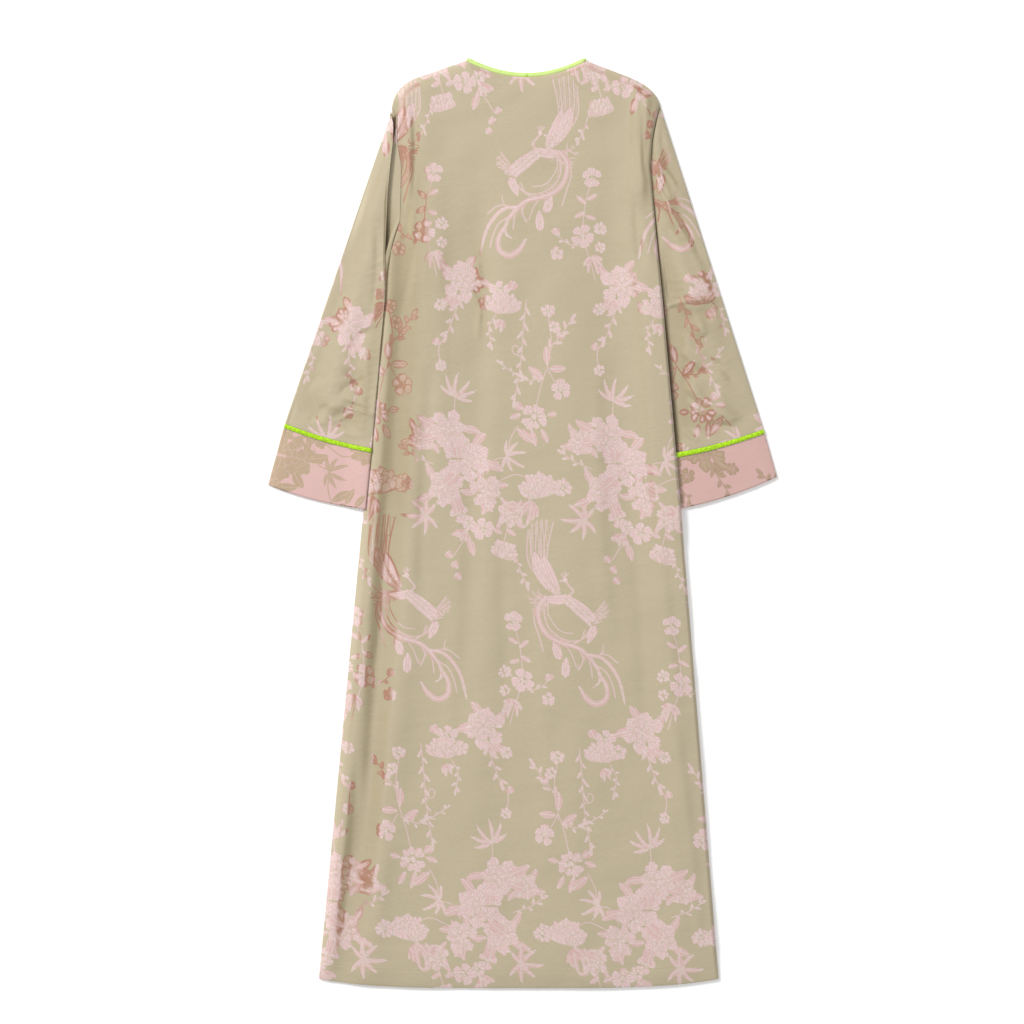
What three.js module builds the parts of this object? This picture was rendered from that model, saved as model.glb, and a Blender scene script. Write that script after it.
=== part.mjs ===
import * as THREE from 'three';

// An abaya laid flat on its front, so that its back shows. Millimetres, +Z up off the surface,
// the neck towards +Y. Every piece is a thin wall of cloth, a seam gap away from its neighbours.

const { lerp, smoothstep } = THREE.MathUtils;

// Driving dimensions
const LENGTH = 1380;
const NECK_WIDTH = 173;
const NECK_MIDDLE = 6;
const NECK_LEVEL = LENGTH / 2 - 1.5;
const BACK_NECK_DROP = 22.5;
const FRONT_NECK_DROP = 108;
const FRONT_SLIT_LENGTH = 160;
const FRONT_SLIT_WIDTH = 4;
const HEM_SAG = 13.5;
const HEM_SAG_POWER = 4;

const WALL = 1.2;
const SEAM_GAP = 0.3;
const BODY_SEAM_TOP = 2 * WALL + SEAM_GAP;
const BODY_LOFT = 4.5;
const BODY_EDGE_ROLL = 28;
const HEM_ROLL = 70;
const SLEEVE_EDGE_HEIGHT = 3.2;
const SLEEVE_LOFT = 3.2;
const LEFT_FOLD_LOFT = 4.5;
const SLEEVE_ROLL = 26;
const SLEEVE_STATIONS = 13;
const CUFF_LOFT = 1.4;
const PIPING_WIDTH = 6.5;
const PIPING_RISE = 1.9;
const NECK_PIPING_HEIGHT = 3.4;

// Side edges of the body from the top of the armhole down to the hem.
// tuck is how far the front's right edge lies inside the back's, where the sleeve goes under.
const SIDES = [
  { y: 618, left: -194, right: 205, tuck: 0 },
  { y: 606, left: -186, right: 201, tuck: 0 },
  { y: 568, left: -186, right: 193, tuck: 0 },
  { y: 530, left: -180, right: 190, tuck: 0 },
  { y: 450, left: -182, right: 197, tuck: 0 },
  { y: 406, left: -199, right: 201, tuck: 0 },
  { y: 22, left: -236, right: 235, tuck: 6.5 },
  { y: 8, left: -237, right: 236, tuck: 0 },
  { y: -676, left: -302, right: 291, tuck: 0 },
];
const UNDERARM_ROW = 5;
const UNDERARM = SIDES[UNDERARM_ROW].y;
const HEM_CORNER = SIDES[SIDES.length - 1].y;
const ROW_STEP = 30;
const SHOULDER_FROM = 520;

// Shoulder seams: each ends in a round over the top of the sleeve
const SHOULDERS = {
  left: { roundStart: [-160, 661], roundCorner: [-190, 648] },
  right: { roundStart: [163, 661], roundCorner: [200, 645] },
};

// Where the left sleeve folds back over its own armhole: the foot and the crest of that fold
const LEFT_FOLD_FOOT = [
  [-194.9, 614],
  [-188.8, 600],
  [-188.5, 568],
  [-187.5, 534],
  [-190, 492],
  [-198, 430],
  [-204.5, 398],
];
const LEFT_FOLD_CREST = [
  [-195.4, 610],
  [-191.5, 594],
  [-192, 568],
  [-196, 534],
  [-200, 492],
  [-204, 400],
  [-204.5, 331],
];

// Seam between sleeve and cuff, and the edge of the cuff, with how far each bows downwards
const CUFFS = {
  left: { seamOuter: [-355, 143], seamInner: [-224, 104], edgeOuter: [-378, 58], edgeInner: [-233, 22] },
  right: { seamOuter: [359, 137], seamInner: [224.5, 101], edgeOuter: [378, 70], edgeInner: [230, 22] },
};
const CUFF_SEAM_BOW = 3.6;
const CUFF_EDGE_BOW = 5.2;

// Folds, each from one end to the other: bow is how far its middle lies to the right of the
// straight line as seen from the start, height is above the cloth, and a trough's is below zero.
const BACK_FOLDS = [
  { x0: -176, y0: 600, x1: -264, y1: -650, bow: -22, width: 20, height: -3.4 },
  { x0: -196, y0: 380, x1: -286, y1: -640, bow: -12, width: 13, height: 3.2 },
  { x0: -148, y0: 590, x1: -226, y1: -640, bow: -20, width: 24, height: 2.6 },
  { x0: -126, y0: 500, x1: -116, y1: 20, bow: 6, width: 20, height: 2.2 },
  { x0: -64, y0: 500, x1: -84, y1: -220, bow: -6, width: 24, height: -1.8 },
  { x0: -24, y0: 420, x1: -66, y1: -480, bow: 8, width: 26, height: 1.4 },
  { x0: 60, y0: 300, x1: 86, y1: -560, bow: -8, width: 40, height: 1.6 },
  { x0: 128, y0: 560, x1: 150, y1: -60, bow: 8, width: 28, height: -1.8 },
  { x0: 170, y0: 470, x1: 236, y1: -600, bow: -8, width: 22, height: 2 },
  { x0: 186, y0: 640, x1: 178, y1: 490, bow: 4, width: 7, height: 3 },
  { x0: 172, y0: 648, x1: 166, y1: 470, bow: 3, width: 8, height: 2.4 },
  { x0: -176, y0: 640, x1: -166, y1: 480, bow: -3, width: 8, height: 2.4 },
];
const LEFT_SLEEVE_FOLDS = [
  { x0: -214, y0: 500, x1: -300, y1: 160, bow: -10, width: 20, height: 2.2 },
  { x0: -240, y0: 430, x1: -318, y1: 190, bow: 6, width: 16, height: -2 },
  { x0: -246, y0: 190, x1: -300, y1: 150, bow: 4, width: 11, height: 1.8 },
  { x0: -262, y0: 330, x1: -226, y1: 290, bow: 3, width: 10, height: 1.6 },
];
const RIGHT_SLEEVE_FOLDS = [
  { x0: 194, y0: 545, x1: 244, y1: 420, bow: 6, width: 9, height: 3 },
  { x0: 214, y0: 420, x1: 236, y1: 130, bow: -4, width: 12, height: -2.4 },
  { x0: 240, y0: 380, x1: 300, y1: 170, bow: -8, width: 18, height: 2.4 },
  { x0: 232, y0: 330, x1: 268, y1: 282, bow: -5, width: 9, height: 2.2 },
  { x0: 252, y0: 200, x1: 322, y1: 150, bow: 6, width: 10, height: 2.4 },
  { x0: 236, y0: 172, x1: 300, y1: 128, bow: 5, width: 8, height: -1.6 },
];
const FOLD_FADE = 0.16;
const FOLD_TURNS = [-Math.PI / 4, 0, Math.PI / 4];
const MOST_SLOPE_FACTOR = 1.6;

// How far the left sleeve lies over the body's edge, and the body's edge over the right sleeve
const SLEEVE_OVER_BODY = 4.8;
const BODY_OVER_SLEEVE = 4;

const COLOURS = { cloth: 0xc0b295, reverse: 0xd8bbb0, piping: 0xc4ea2c };

const material = (color, roughness) => new THREE.MeshStandardMaterial({ color, roughness, metalness: 0 });

// Value of a named column of SIDES at a height
function sideAt(column, y) {
  const row = SIDES.findIndex((side, i) => i > 0 && y >= side.y);
  const lower = row < 0 ? SIDES.length - 1 : row;
  const upper = SIDES[lower - 1];
  const share = (upper.y - y) / (upper.y - SIDES[lower].y);
  return lerp(upper[column], SIDES[lower][column], share);
}

// Heights of the rows of SIDES from one row to another, with rows between them
function rowHeights(first, last) {
  const heights = [];
  for (let i = first; i < last; i += 1) {
    const parts = Math.ceil((SIDES[i].y - SIDES[i + 1].y) / ROW_STEP);
    for (let k = 0; k < parts; k += 1) heights.push(lerp(SIDES[i].y, SIDES[i + 1].y, k / parts));
  }
  heights.push(SIDES[last].y);
  return heights;
}

// Sum of a list of folds at a point
function foldHeight(folds, x, y) {
  let sum = 0;
  for (const fold of folds) {
    const length = Math.hypot(fold.x1 - fold.x0, fold.y1 - fold.y0);
    const alongX = (fold.x1 - fold.x0) / length;
    const alongY = (fold.y1 - fold.y0) / length;
    const share = ((x - fold.x0) * alongX + (y - fold.y0) * alongY) / length;
    const off = (x - fold.x0) * alongY - (y - fold.y0) * alongX - fold.bow * 4 * share * (1 - share);
    const fade = smoothstep(share, -FOLD_FADE, FOLD_FADE) * (1 - smoothstep(share, 1 - FOLD_FADE, 1 + FOLD_FADE));
    sum += fold.height * fade * Math.exp(-((off / fold.width) ** 2));
  }
  return sum;
}

// Point at a share of the length of a polyline
function along(points, share) {
  const lengths = points.slice(1).map((p, i) => Math.hypot(p[0] - points[i][0], p[1] - points[i][1]));
  let left = share * lengths.reduce((sum, length) => sum + length, 0);
  let i = 0;
  while (i < lengths.length - 1 && left > lengths[i]) {
    left -= lengths[i];
    i += 1;
  }
  const part = left / lengths[i];
  return [lerp(points[i][0], points[i + 1][0], part), lerp(points[i][1], points[i + 1][1], part)];
}

function toward(from, to, distance) {
  const share = distance / Math.hypot(to[0] - from[0], to[1] - from[1]);
  return [lerp(from[0], to[0], share), lerp(from[1], to[1], share)];
}

const mix = (a, b, share) => [lerp(a[0], b[0], share), lerp(a[1], b[1], share)];

// Neckline: middle line of the piping, over the back and round the lower front
const neckLeft = NECK_MIDDLE - NECK_WIDTH / 2;
const neckRight = NECK_MIDDLE + NECK_WIDTH / 2;

function backNeck(share) {
  const side = 2 * share - 1;
  return [lerp(neckLeft, neckRight, share), NECK_LEVEL - BACK_NECK_DROP * (1 - side * side)];
}

function frontNeck(share) {
  const angle = Math.PI * share;
  return [NECK_MIDDLE + (NECK_WIDTH / 2) * Math.cos(angle), NECK_LEVEL - FRONT_NECK_DROP * Math.sin(angle)];
}

// Points of a line moved sideways, to the right of its direction where distance is above zero
function moveSideways(points, distance) {
  return points.map((point, i) => {
    const before = points[Math.max(i - 1, 0)];
    const after = points[Math.min(i + 1, points.length - 1)];
    const length = Math.hypot(after[0] - before[0], after[1] - before[1]);
    const normal = [(after[1] - before[1]) / length, -(after[0] - before[0]) / length];
    return [point[0] + normal[0] * distance, point[1] + normal[1] * distance];
  });
}

const sample = (count, at) => Array.from({ length: count + 1 }, (_, i) => at(i / count));

function bezier(start, corner, end, count) {
  return sample(count, (t) => mix(mix(start, corner, t), mix(corner, end, t), t));
}

// Upper edge of a body panel: shoulder, neckline, shoulder, each shoulder in a number of parts
function upperEdge(neckPoints, parts) {
  const top = SIDES[0];
  const { left, right } = SHOULDERS;
  const neckStart = neckPoints[0];
  const neckEnd = neckPoints[neckPoints.length - 1];
  return [
    ...bezier([top.left, top.y], left.roundCorner, left.roundStart, 4),
    ...sample(parts, (t) => mix(left.roundStart, neckStart, t)).slice(1, -1),
    ...neckPoints,
    ...sample(parts, (t) => mix(neckEnd, right.roundStart, t)).slice(1, -1),
    ...bezier(right.roundStart, right.roundCorner, [top.right, top.y], 4),
  ];
}

// The neckline's points. Those of the front crowd towards the shoulders, where it turns under.
const BACK_NECK = sample(12, backNeck);
const FRONT_NECK = sample(24, (share) => frontNeck((1 - Math.cos(Math.PI * share)) / 2));

const hemY = (share) => HEM_CORNER - HEM_SAG * (1 - Math.abs(2 * share - 1) ** HEM_SAG_POWER);

// Closed mesh from points and four-sided faces, with its faces turned outwards
function closedMesh(name, points, quads, piece) {
  const triangles = quads.flatMap(([a, b, c, d]) => [[a, b, c], [a, c, d]]);
  let volume = 0;
  for (const [a, b, c] of triangles) {
    volume += points[a].dot(new THREE.Vector3().crossVectors(points[b], points[c]));
  }
  const index = triangles.flatMap(([a, b, c]) => (volume > 0 ? [a, b, c] : [a, c, b]));
  const geometry = new THREE.BufferGeometry();
  geometry.setFromPoints(points);
  geometry.setIndex(index);
  geometry.computeVertexNormals();
  const mesh = new THREE.Mesh(geometry, piece);
  mesh.name = name;
  return mesh;
}

// How much thicker a sloping wall measures straight down, at a point of a grid of points
function slopeFactor(grid, k, i) {
  const row = grid[k];
  const across = new THREE.Vector3().subVectors(row[Math.min(i + 1, row.length - 1)], row[Math.max(i - 1, 0)]);
  const down = new THREE.Vector3()
    .subVectors(grid[Math.min(k + 1, grid.length - 1)][i], grid[Math.max(k - 1, 0)][i]);
  const normal = new THREE.Vector3().crossVectors(across, down).normalize();
  return Math.min(1 / Math.abs(normal.z), MOST_SLOPE_FACTOR);
}

// The back: a sheet between its seams, raised by its loft and its folds
function backPanel() {
  const neckEdge = moveSideways(BACK_NECK, PIPING_WIDTH / 2 + SEAM_GAP);
  const top = upperEdge(neckEdge, 4);
  const shares = top.map((point) => (point[0] - top[0][0]) / (top[top.length - 1][0] - top[0][0]));
  const heights = rowHeights(0, SIDES.length - 1);
  const grid = heights.map((y) => {
    const fromTop = (SIDES[0].y - y) / (SIDES[0].y - HEM_CORNER);
    const edgeLeft = sideAt('left', y);
    const edgeRight = sideAt('right', y);
    return shares.map((share, i) => {
      const x = lerp(edgeLeft, edgeRight, share) + (1 - fromTop) * (top[i][0] - lerp(top[0][0], top.at(-1)[0], share));
      const rise = smoothstep(y, SHOULDER_FROM, SIDES[0].y) * (top[i][1] - SIDES[0].y);
      const sag = fromTop * (hemY(share) - HEM_CORNER);
      const place = y + rise + sag;
      const toSide = Math.min(share, 1 - share) * (edgeRight - edgeLeft);
      const roll = smoothstep(toSide, 0, BODY_EDGE_ROLL)
        * smoothstep(top[i][1] - place, 0, BODY_EDGE_ROLL)
        * smoothstep(place - hemY(share), -8, HEM_ROLL);
      const toRight = (1 - share) * (edgeRight - edgeLeft);
      const overSleeve = smoothstep(UNDERARM - y, 0, 60) * smoothstep(y, -40, 18);
      const lift = BODY_OVER_SLEEVE * overSleeve * (1 - smoothstep(toRight, 8, 50));
      const cloth = BODY_LOFT * roll + lift + foldHeight(BACK_FOLDS, x, place) * Math.sqrt(roll);
      return new THREE.Vector3(x, place, BODY_SEAM_TOP + Math.max(cloth, 0));
    });
  });
  const columns = shares.length;
  const lower = grid.map((row, k) => row.map((point, i) => (
    new THREE.Vector3(point.x, point.y, point.z - WALL * slopeFactor(grid, k, i)))));
  const points = [...grid.flat(), ...lower.flat()];
  const layer = grid.length * columns;
  const at = (k, i) => k * columns + i;
  const quads = [];
  for (let k = 0; k < grid.length - 1; k += 1) {
    for (let i = 0; i < columns - 1; i += 1) {
      quads.push([at(k, i), at(k + 1, i), at(k + 1, i + 1), at(k, i + 1)]);
      quads.push([layer + at(k, i), layer + at(k, i + 1), layer + at(k + 1, i + 1), layer + at(k + 1, i)]);
    }
    const end = columns - 1;
    quads.push([at(k, 0), layer + at(k, 0), layer + at(k + 1, 0), at(k + 1, 0)]);
    quads.push([at(k, end), at(k + 1, end), layer + at(k + 1, end), layer + at(k, end)]);
  }
  const last = grid.length - 1;
  for (let i = 0; i < columns - 1; i += 1) {
    quads.push([at(0, i), at(0, i + 1), layer + at(0, i + 1), layer + at(0, i)]);
    quads.push([at(last, i), layer + at(last, i), layer + at(last, i + 1), at(last, i + 1)]);
  }
  return closedMesh('back_panel', points, quads, material(COLOURS.cloth, 0.6));
}

// The front: a flat sheet under the back, with the same seams, a lower neckline and a slit
function frontPanel() {
  const neckEdge = moveSideways([...FRONT_NECK].reverse(), PIPING_WIDTH / 2 + SEAM_GAP);
  const middle = (neckEdge.length - 1) / 2;
  const slitTop = neckEdge[middle];
  const slit = [
    [NECK_MIDDLE - FRONT_SLIT_WIDTH / 2, slitTop[1]],
    [NECK_MIDDLE, slitTop[1] - FRONT_SLIT_LENGTH],
    [NECK_MIDDLE + FRONT_SLIT_WIDTH / 2, slitTop[1]],
  ];
  neckEdge.splice(middle, 1, ...slit);
  const rightSide = SIDES.slice(1).map(({ y, right, tuck }) => [right - tuck, y]);
  const leftSide = SIDES.slice(1).map(({ y, left }) => [left, y]).reverse();
  const hem = sample(10, (share) => [lerp(SIDES.at(-1).right, SIDES.at(-1).left, share), hemY(share)]).slice(1, -1);
  const outline = [...upperEdge(neckEdge, 1), ...rightSide, ...hem, ...leftSide];
  const shape = new THREE.Shape(outline.map(([x, y]) => new THREE.Vector2(x, y)));
  const geometry = new THREE.ExtrudeGeometry(shape, { depth: WALL, bevelEnabled: false });
  const mesh = new THREE.Mesh(geometry, material(COLOURS.cloth, 0.6));
  mesh.name = 'front_panel';
  return mesh;
}

// A flattened tube of cloth. Each station has the line that it lies on, from the outer to the
// inner edge, its bottom and top at a point, and its wall below, above and at its folded edges.
function flatTube(name, stations, shares, piece) {
  const count = shares.length;
  const places = stations.map(({ line, top, bottom }) => {
    const ends = [line(shares[0]), line(shares[count - 1])];
    const radii = ends.map(([x, y]) => (top(x, y) - bottom(x, y)) / 2);
    const flat = shares.map((share) => line(share));
    flat[0] = toward(ends[0], flat[1], radii[0]);
    flat[count - 1] = toward(ends[1], flat[count - 2], radii[1]);
    const levels = flat.map(([x, y], i) => {
      const [levelX, levelY] = i === 0 ? ends[0] : i === count - 1 ? ends[1] : [x, y];
      return { low: bottom(levelX, levelY), high: top(levelX, levelY) };
    });
    return { ends, radii, flat, levels };
  });
  const layer = (height) => places.map(({ flat, levels }) => (
    flat.map(([x, y], i) => new THREE.Vector3(x, y, levels[i][height]))));
  const lowLayer = layer('low');
  const highLayer = layer('high');

  // Points round a folded edge, at a share of its radius
  const fold = ({ ends, radii, flat, levels }, end, wall, turns) => {
    const inset = flat[end === 0 ? 0 : count - 1];
    const radius = radii[end] - wall;
    const share = radius / radii[end];
    const middle = levels[end === 0 ? 0 : count - 1].low + radii[end];
    return turns.map((turn) => {
      const [x, y] = mix(inset, ends[end], share * Math.cos(turn));
      return new THREE.Vector3(x, y, middle + radius * Math.sin(turn));
    });
  };
  const loop = (place, k, walls) => {
    const low = lowLayer[k].map((p, i) => (
      new THREE.Vector3(p.x, p.y, p.z + walls.wallBottom * slopeFactor(lowLayer, k, i))));
    const high = highLayer[k].map((p, i) => (
      new THREE.Vector3(p.x, p.y, p.z - walls.wallTop * slopeFactor(highLayer, k, i))));
    return [
      ...low,
      ...fold(place, 1, walls.wallFold, FOLD_TURNS),
      ...high.reverse(),
      ...fold(place, 0, walls.wallFold, [...FOLD_TURNS].reverse()),
    ];
  };
  const none = { wallBottom: 0, wallTop: 0, wallFold: 0 };
  const outside = places.map((place, k) => loop(place, k, none));
  const inside = places.map((place, k) => loop(place, k, stations[k]));
  const columns = outside[0].length;
  const points = [...outside.flat(), ...inside.flat()];
  const inner = outside.length * columns;
  const last = outside.length - 1;
  const at = (k, i) => k * columns + (i % columns);
  const quads = [];
  for (let i = 0; i < columns; i += 1) {
    for (let k = 0; k < last; k += 1) {
      quads.push([at(k, i), at(k + 1, i), at(k + 1, i + 1), at(k, i + 1)]);
      quads.push([inner + at(k, i), inner + at(k, i + 1), inner + at(k + 1, i + 1), inner + at(k + 1, i)]);
    }
    quads.push([at(0, i), at(0, i + 1), inner + at(0, i + 1), inner + at(0, i)]);
    quads.push([at(last, i), inner + at(last, i), inner + at(last, i + 1), at(last, i + 1)]);
  }
  return closedMesh(name, points, quads, piece);
}

const CLOTH = { wallTop: WALL, wallBottom: WALL, wallFold: WALL };

// A line between two points that bows downwards
function bowed(outer, inner, bow) {
  return (share) => {
    const [x, y] = mix(outer, inner, share);
    return [x, y - bow * 4 * share * (1 - share)];
  };
}

// How far a point lies from the line through two others
function reach(from, to, x, y) {
  const length = Math.hypot(to[0] - from[0], to[1] - from[1]);
  return Math.abs((to[0] - from[0]) * (y - from[1]) - (to[1] - from[1]) * (x - from[0])) / length;
}

// One sleeve with its piping and cuff
function sleeve(side) {
  const onLeft = side === 'left';
  const cuff = CUFFS[side];
  const folds = onLeft ? LEFT_SLEEVE_FOLDS : RIGHT_SLEEVE_FOLDS;
  const armholeEdge = rowHeights(0, UNDERARM_ROW).map((y) => [sideAt(side, y), y]);
  const armhole = moveSideways(armholeEdge, onLeft ? SEAM_GAP : -SEAM_GAP);
  const steps = armhole.slice(1).map((p, i) => Math.hypot(p[0] - armhole[i][0], p[1] - armhole[i][1]));
  const armholeLength = steps.reduce((sum, step) => sum + step, 0);
  const shares = [0, ...steps.map((_, i) => (
    steps.slice(0, i + 1).reduce((sum, step) => sum + step, 0) / armholeLength))];
  const start = onLeft ? LEFT_FOLD_CREST : armhole;

  // The underside lies on the surface, but on the left it climbs over the body's edge
  const overBody = (x, y) => (
    SLEEVE_OVER_BODY * smoothstep(x - sideAt('left', y), -16, -1.5) * smoothstep(UNDERARM - y, 0, 20));
  const bottom = onLeft ? overBody : () => 0;

  // The loft rolls off to the outer edge, and on the right to the inner edge, under the body
  const outerRoll = (x, y) => smoothstep(reach(start[0], cuff.edgeOuter, x, y), 0, SLEEVE_ROLL);
  const innerRoll = (x, y) => smoothstep(reach(start.at(-1), cuff.edgeInner, x, y), 0, SLEEVE_ROLL);
  const roll = (x, y) => (onLeft ? outerRoll(x, y) : outerRoll(x, y) * innerRoll(x, y));
  const topAt = (loft, foldShare) => (x, y) => {
    const raised = (loft + foldShare * foldHeight(folds, x, y)) * roll(x, y);
    return SLEEVE_EDGE_HEIGHT + Math.max(bottom(x, y), raised, 0);
  };

  // Lines across the cuff, from its seam at 0 to its edge at 1
  const cuffLine = (share) => (t) => mix(
    bowed(cuff.seamOuter, cuff.seamInner, CUFF_SEAM_BOW)(t),
    bowed(cuff.edgeOuter, cuff.edgeInner, CUFF_EDGE_BOW)(t),
    share,
  );
  const depth = Math.hypot(cuff.edgeOuter[0] - cuff.seamOuter[0], cuff.edgeOuter[1] - cuff.seamOuter[1]);
  const seamShare = (PIPING_WIDTH / 2 + SEAM_GAP) / depth;

  const stations = [{ line: (t) => along(armhole, t), top: topAt(0, 0), bottom: () => 0, ...CLOTH }];
  if (onLeft) stations.push({ line: (t) => along(LEFT_FOLD_FOOT, t), top: topAt(0, 0), bottom, ...CLOTH });
  const endLine = cuffLine(-seamShare);
  for (let k = onLeft ? 0 : 1; k <= SLEEVE_STATIONS; k += 1) {
    const share = k / SLEEVE_STATIONS;
    const loft = lerp(onLeft ? LEFT_FOLD_LOFT : SLEEVE_LOFT, CUFF_LOFT, share);
    const foldShare = smoothstep(share, 0, 0.12) * (1 - smoothstep(share, 0.88, 1));
    const line = (t) => mix(along(start, t), endLine(t), share);
    stations.push({ line, top: topAt(loft, foldShare), bottom, ...CLOTH });
  }
  const sleeveMesh = flatTube(`sleeve_${side}`, stations, shares, material(COLOURS.cloth, 0.6));

  const across = sample(10, (t) => t);
  const pipingStations = [-0.5, -0.2, 0.2, 0.5].map((place) => {
    const rise = PIPING_RISE * Math.sqrt(1 - 3.2 * place * place);
    const top = (x, y) => topAt(CUFF_LOFT, 0)(x, y) + rise;
    const walls = { wallTop: WALL + rise, wallBottom: WALL, wallFold: WALL + rise / 2 };
    return { line: cuffLine((place * PIPING_WIDTH) / depth), top, bottom, ...walls };
  });
  const piping = flatTube(`cuff_piping_${side}`, pipingStations, across, material(COLOURS.piping, 0.4));

  const cuffStations = sample(3, (t) => (
    { line: cuffLine(lerp(seamShare, 1, t)), top: topAt(CUFF_LOFT, 0), bottom, ...CLOTH }));
  const cuffMesh = flatTube(`cuff_${side}`, cuffStations, across, material(COLOURS.reverse, 0.6));
  return [sleeveMesh, piping, cuffMesh];
}

// Piping round the neck: thick where it shows along the back, pressed flat under the back
function neckPiping() {
  const path = [
    ...BACK_NECK.map(([x, y]) => ({ x, y, height: NECK_PIPING_HEIGHT, base: WALL + SEAM_GAP })),
    ...FRONT_NECK.slice(1, -1).map(([x, y]) => (
      { x, y, height: WALL * (1 + smoothstep(NECK_LEVEL - y, 12, 50)), base: 0 })),
  ];
  for (const end of [path[0], path[BACK_NECK.length - 1]]) {
    end.height = NECK_PIPING_HEIGHT * 0.75;
    end.base = WALL / 2;
  }
  const sides = 8;
  const points = [];
  path.forEach((place, k) => {
    const before = path[(k + path.length - 1) % path.length];
    const after = path[(k + 1) % path.length];
    const tangent = new THREE.Vector2(place.x - before.x, place.y - before.y).normalize()
      .add(new THREE.Vector2(after.x - place.x, after.y - place.y).normalize()).normalize();
    for (let i = 0; i < sides; i += 1) {
      const turn = (2 * Math.PI * (i + 0.5)) / sides;
      const round = 1 / Math.cos(Math.PI / sides);
      const out = (PIPING_WIDTH / 2) * round * Math.cos(turn);
      const up = (place.height / 2) * (1 + round * Math.sin(turn));
      points.push(new THREE.Vector3(place.x + tangent.y * out, place.y - tangent.x * out, place.base + up));
    }
  });
  const quads = [];
  for (let k = 0; k < path.length; k += 1) {
    const next = (k + 1) % path.length;
    for (let i = 0; i < sides; i += 1) {
      const turn = (i + 1) % sides;
      quads.push([k * sides + i, next * sides + i, next * sides + turn, k * sides + turn]);
    }
  }
  return closedMesh('neck_piping', points, quads, material(COLOURS.piping, 0.4));
}

const garment = new THREE.Group();
garment.add(backPanel(), frontPanel(), neckPiping(), ...sleeve('left'), ...sleeve('right'));

// The origin is in the middle of the garment, on the surface that it lies on
const bounds = new THREE.Box3().setFromObject(garment);
const middle = bounds.getCenter(new THREE.Vector3());
garment.position.set(-middle.x, -middle.y, -bounds.min.z);

const group = new THREE.Group();
group.add(garment);

export default group;
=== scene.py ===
import math
from collections import namedtuple
from functools import partial

import bpy
import numpy as np
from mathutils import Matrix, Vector


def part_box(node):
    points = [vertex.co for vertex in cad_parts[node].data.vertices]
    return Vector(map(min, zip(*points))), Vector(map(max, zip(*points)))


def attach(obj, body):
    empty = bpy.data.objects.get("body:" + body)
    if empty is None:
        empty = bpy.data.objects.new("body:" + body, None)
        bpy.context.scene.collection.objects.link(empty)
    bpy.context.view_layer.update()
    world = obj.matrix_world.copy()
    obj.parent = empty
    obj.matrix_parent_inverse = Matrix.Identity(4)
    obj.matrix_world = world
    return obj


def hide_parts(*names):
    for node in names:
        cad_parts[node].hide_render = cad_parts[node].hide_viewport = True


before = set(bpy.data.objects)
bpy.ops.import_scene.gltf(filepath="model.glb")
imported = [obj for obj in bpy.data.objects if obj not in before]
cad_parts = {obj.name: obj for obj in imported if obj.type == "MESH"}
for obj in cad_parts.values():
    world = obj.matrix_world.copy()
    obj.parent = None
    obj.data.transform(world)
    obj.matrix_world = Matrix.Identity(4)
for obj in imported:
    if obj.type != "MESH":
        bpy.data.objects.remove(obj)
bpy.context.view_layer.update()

# The garment's own sizes are in millimetres, as it was laid out, and turned to metres at the end
MM = 0.001
rng = np.random.default_rng(7)

# Camera: straight above the laid garment, one photograph pixel to PHOTO_SCALE millimetres
PHOTO_SIZE = 1024
PHOTO_SCALE = 1.487
PHOTO_MIDDLE = (522.5, 523.0)
CAMERA_HEIGHT = 3.4
SENSOR = 36.0


def garment_place(photo_point):
    """A place in the photograph, in its pixels, as millimetres on the laid garment."""
    x, y = photo_point
    return (x - PHOTO_MIDDLE[0]) * PHOTO_SCALE, (PHOTO_MIDDLE[1] - y) * PHOTO_SCALE


def add_camera():
    data = bpy.data.cameras.new("camera")
    camera = bpy.data.objects.new("camera", data)
    bpy.context.collection.objects.link(camera)
    half_width = PHOTO_SIZE * PHOTO_SCALE * MM / 2
    data.sensor_width = SENSOR
    data.lens = SENSOR / 2 * CAMERA_HEIGHT / half_width
    x, y = garment_place((PHOTO_SIZE / 2, PHOTO_SIZE / 2))
    camera.location = (x * MM, y * MM, CAMERA_HEIGHT)
    bpy.context.scene.camera = camera


add_camera()


# Sizes of the cut, the same as those of the solids
NECK_WIDTH = 173
NECK_MIDDLE = 6
NECK_LEVEL = 688.5
BACK_NECK_DROP = 22.5
FRONT_NECK_DROP = 108
FRONT_SLIT_LENGTH = 160
FRONT_SLIT_WIDTH = 4
HEM_SAG = 13.5
HEM_SAG_POWER = 4
HEM_ALLOWANCE = 26
HEM_RISE = 0.5

CLOTH = 1.2
SEAM_GAP = 0.3
BODY_TOP = 2 * CLOTH + SEAM_GAP
BODY_LOFT = 4.5
BODY_ROLL = 24
HEM_ROLL = 70
RIGHT_ROLL = 3.4
HIGHEST = 8.7
SLEEVE_EDGE = 3.2
SLEEVE_LOFT = 3.2
LEFT_FOLD_LOFT = 4.5
SLEEVE_ROLL = 26
CUFF_LOFT = 1.4
PIPING_WIDTH = 6.5
SLEEVE_OVER_BODY = 4.8
BODY_OVER_SLEEVE = 4

# Side edges of the body from the top of the armhole down to the hem
Side = namedtuple("Side", "y left right")
SIDES = [
    Side(618, -194, 205),
    Side(606, -186, 201),
    Side(568, -186, 193),
    Side(530, -180, 190),
    Side(450, -182, 197),
    Side(406, -199, 201),
    Side(22, -236, 235),
    Side(8, -237, 236),
    Side(-676, -302, 291),
]
UNDERARM_ROW = 5
UNDERARM = SIDES[UNDERARM_ROW].y
ARMHOLE_TOP = SIDES[0].y
HEM_CORNER = SIDES[-1].y
SHOULDER_FROM = 520

# Where the cloth of the laid garment is in the frame: the solids were centred on their own box
ORIGIN_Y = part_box("back_panel")[0][1] / MM - (HEM_CORNER - HEM_SAG)


def side_at(column, y):
    heights = [side.y for side in reversed(SIDES)]
    values = [getattr(side, column) for side in reversed(SIDES)]
    return np.interp(y, heights, values)


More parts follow.
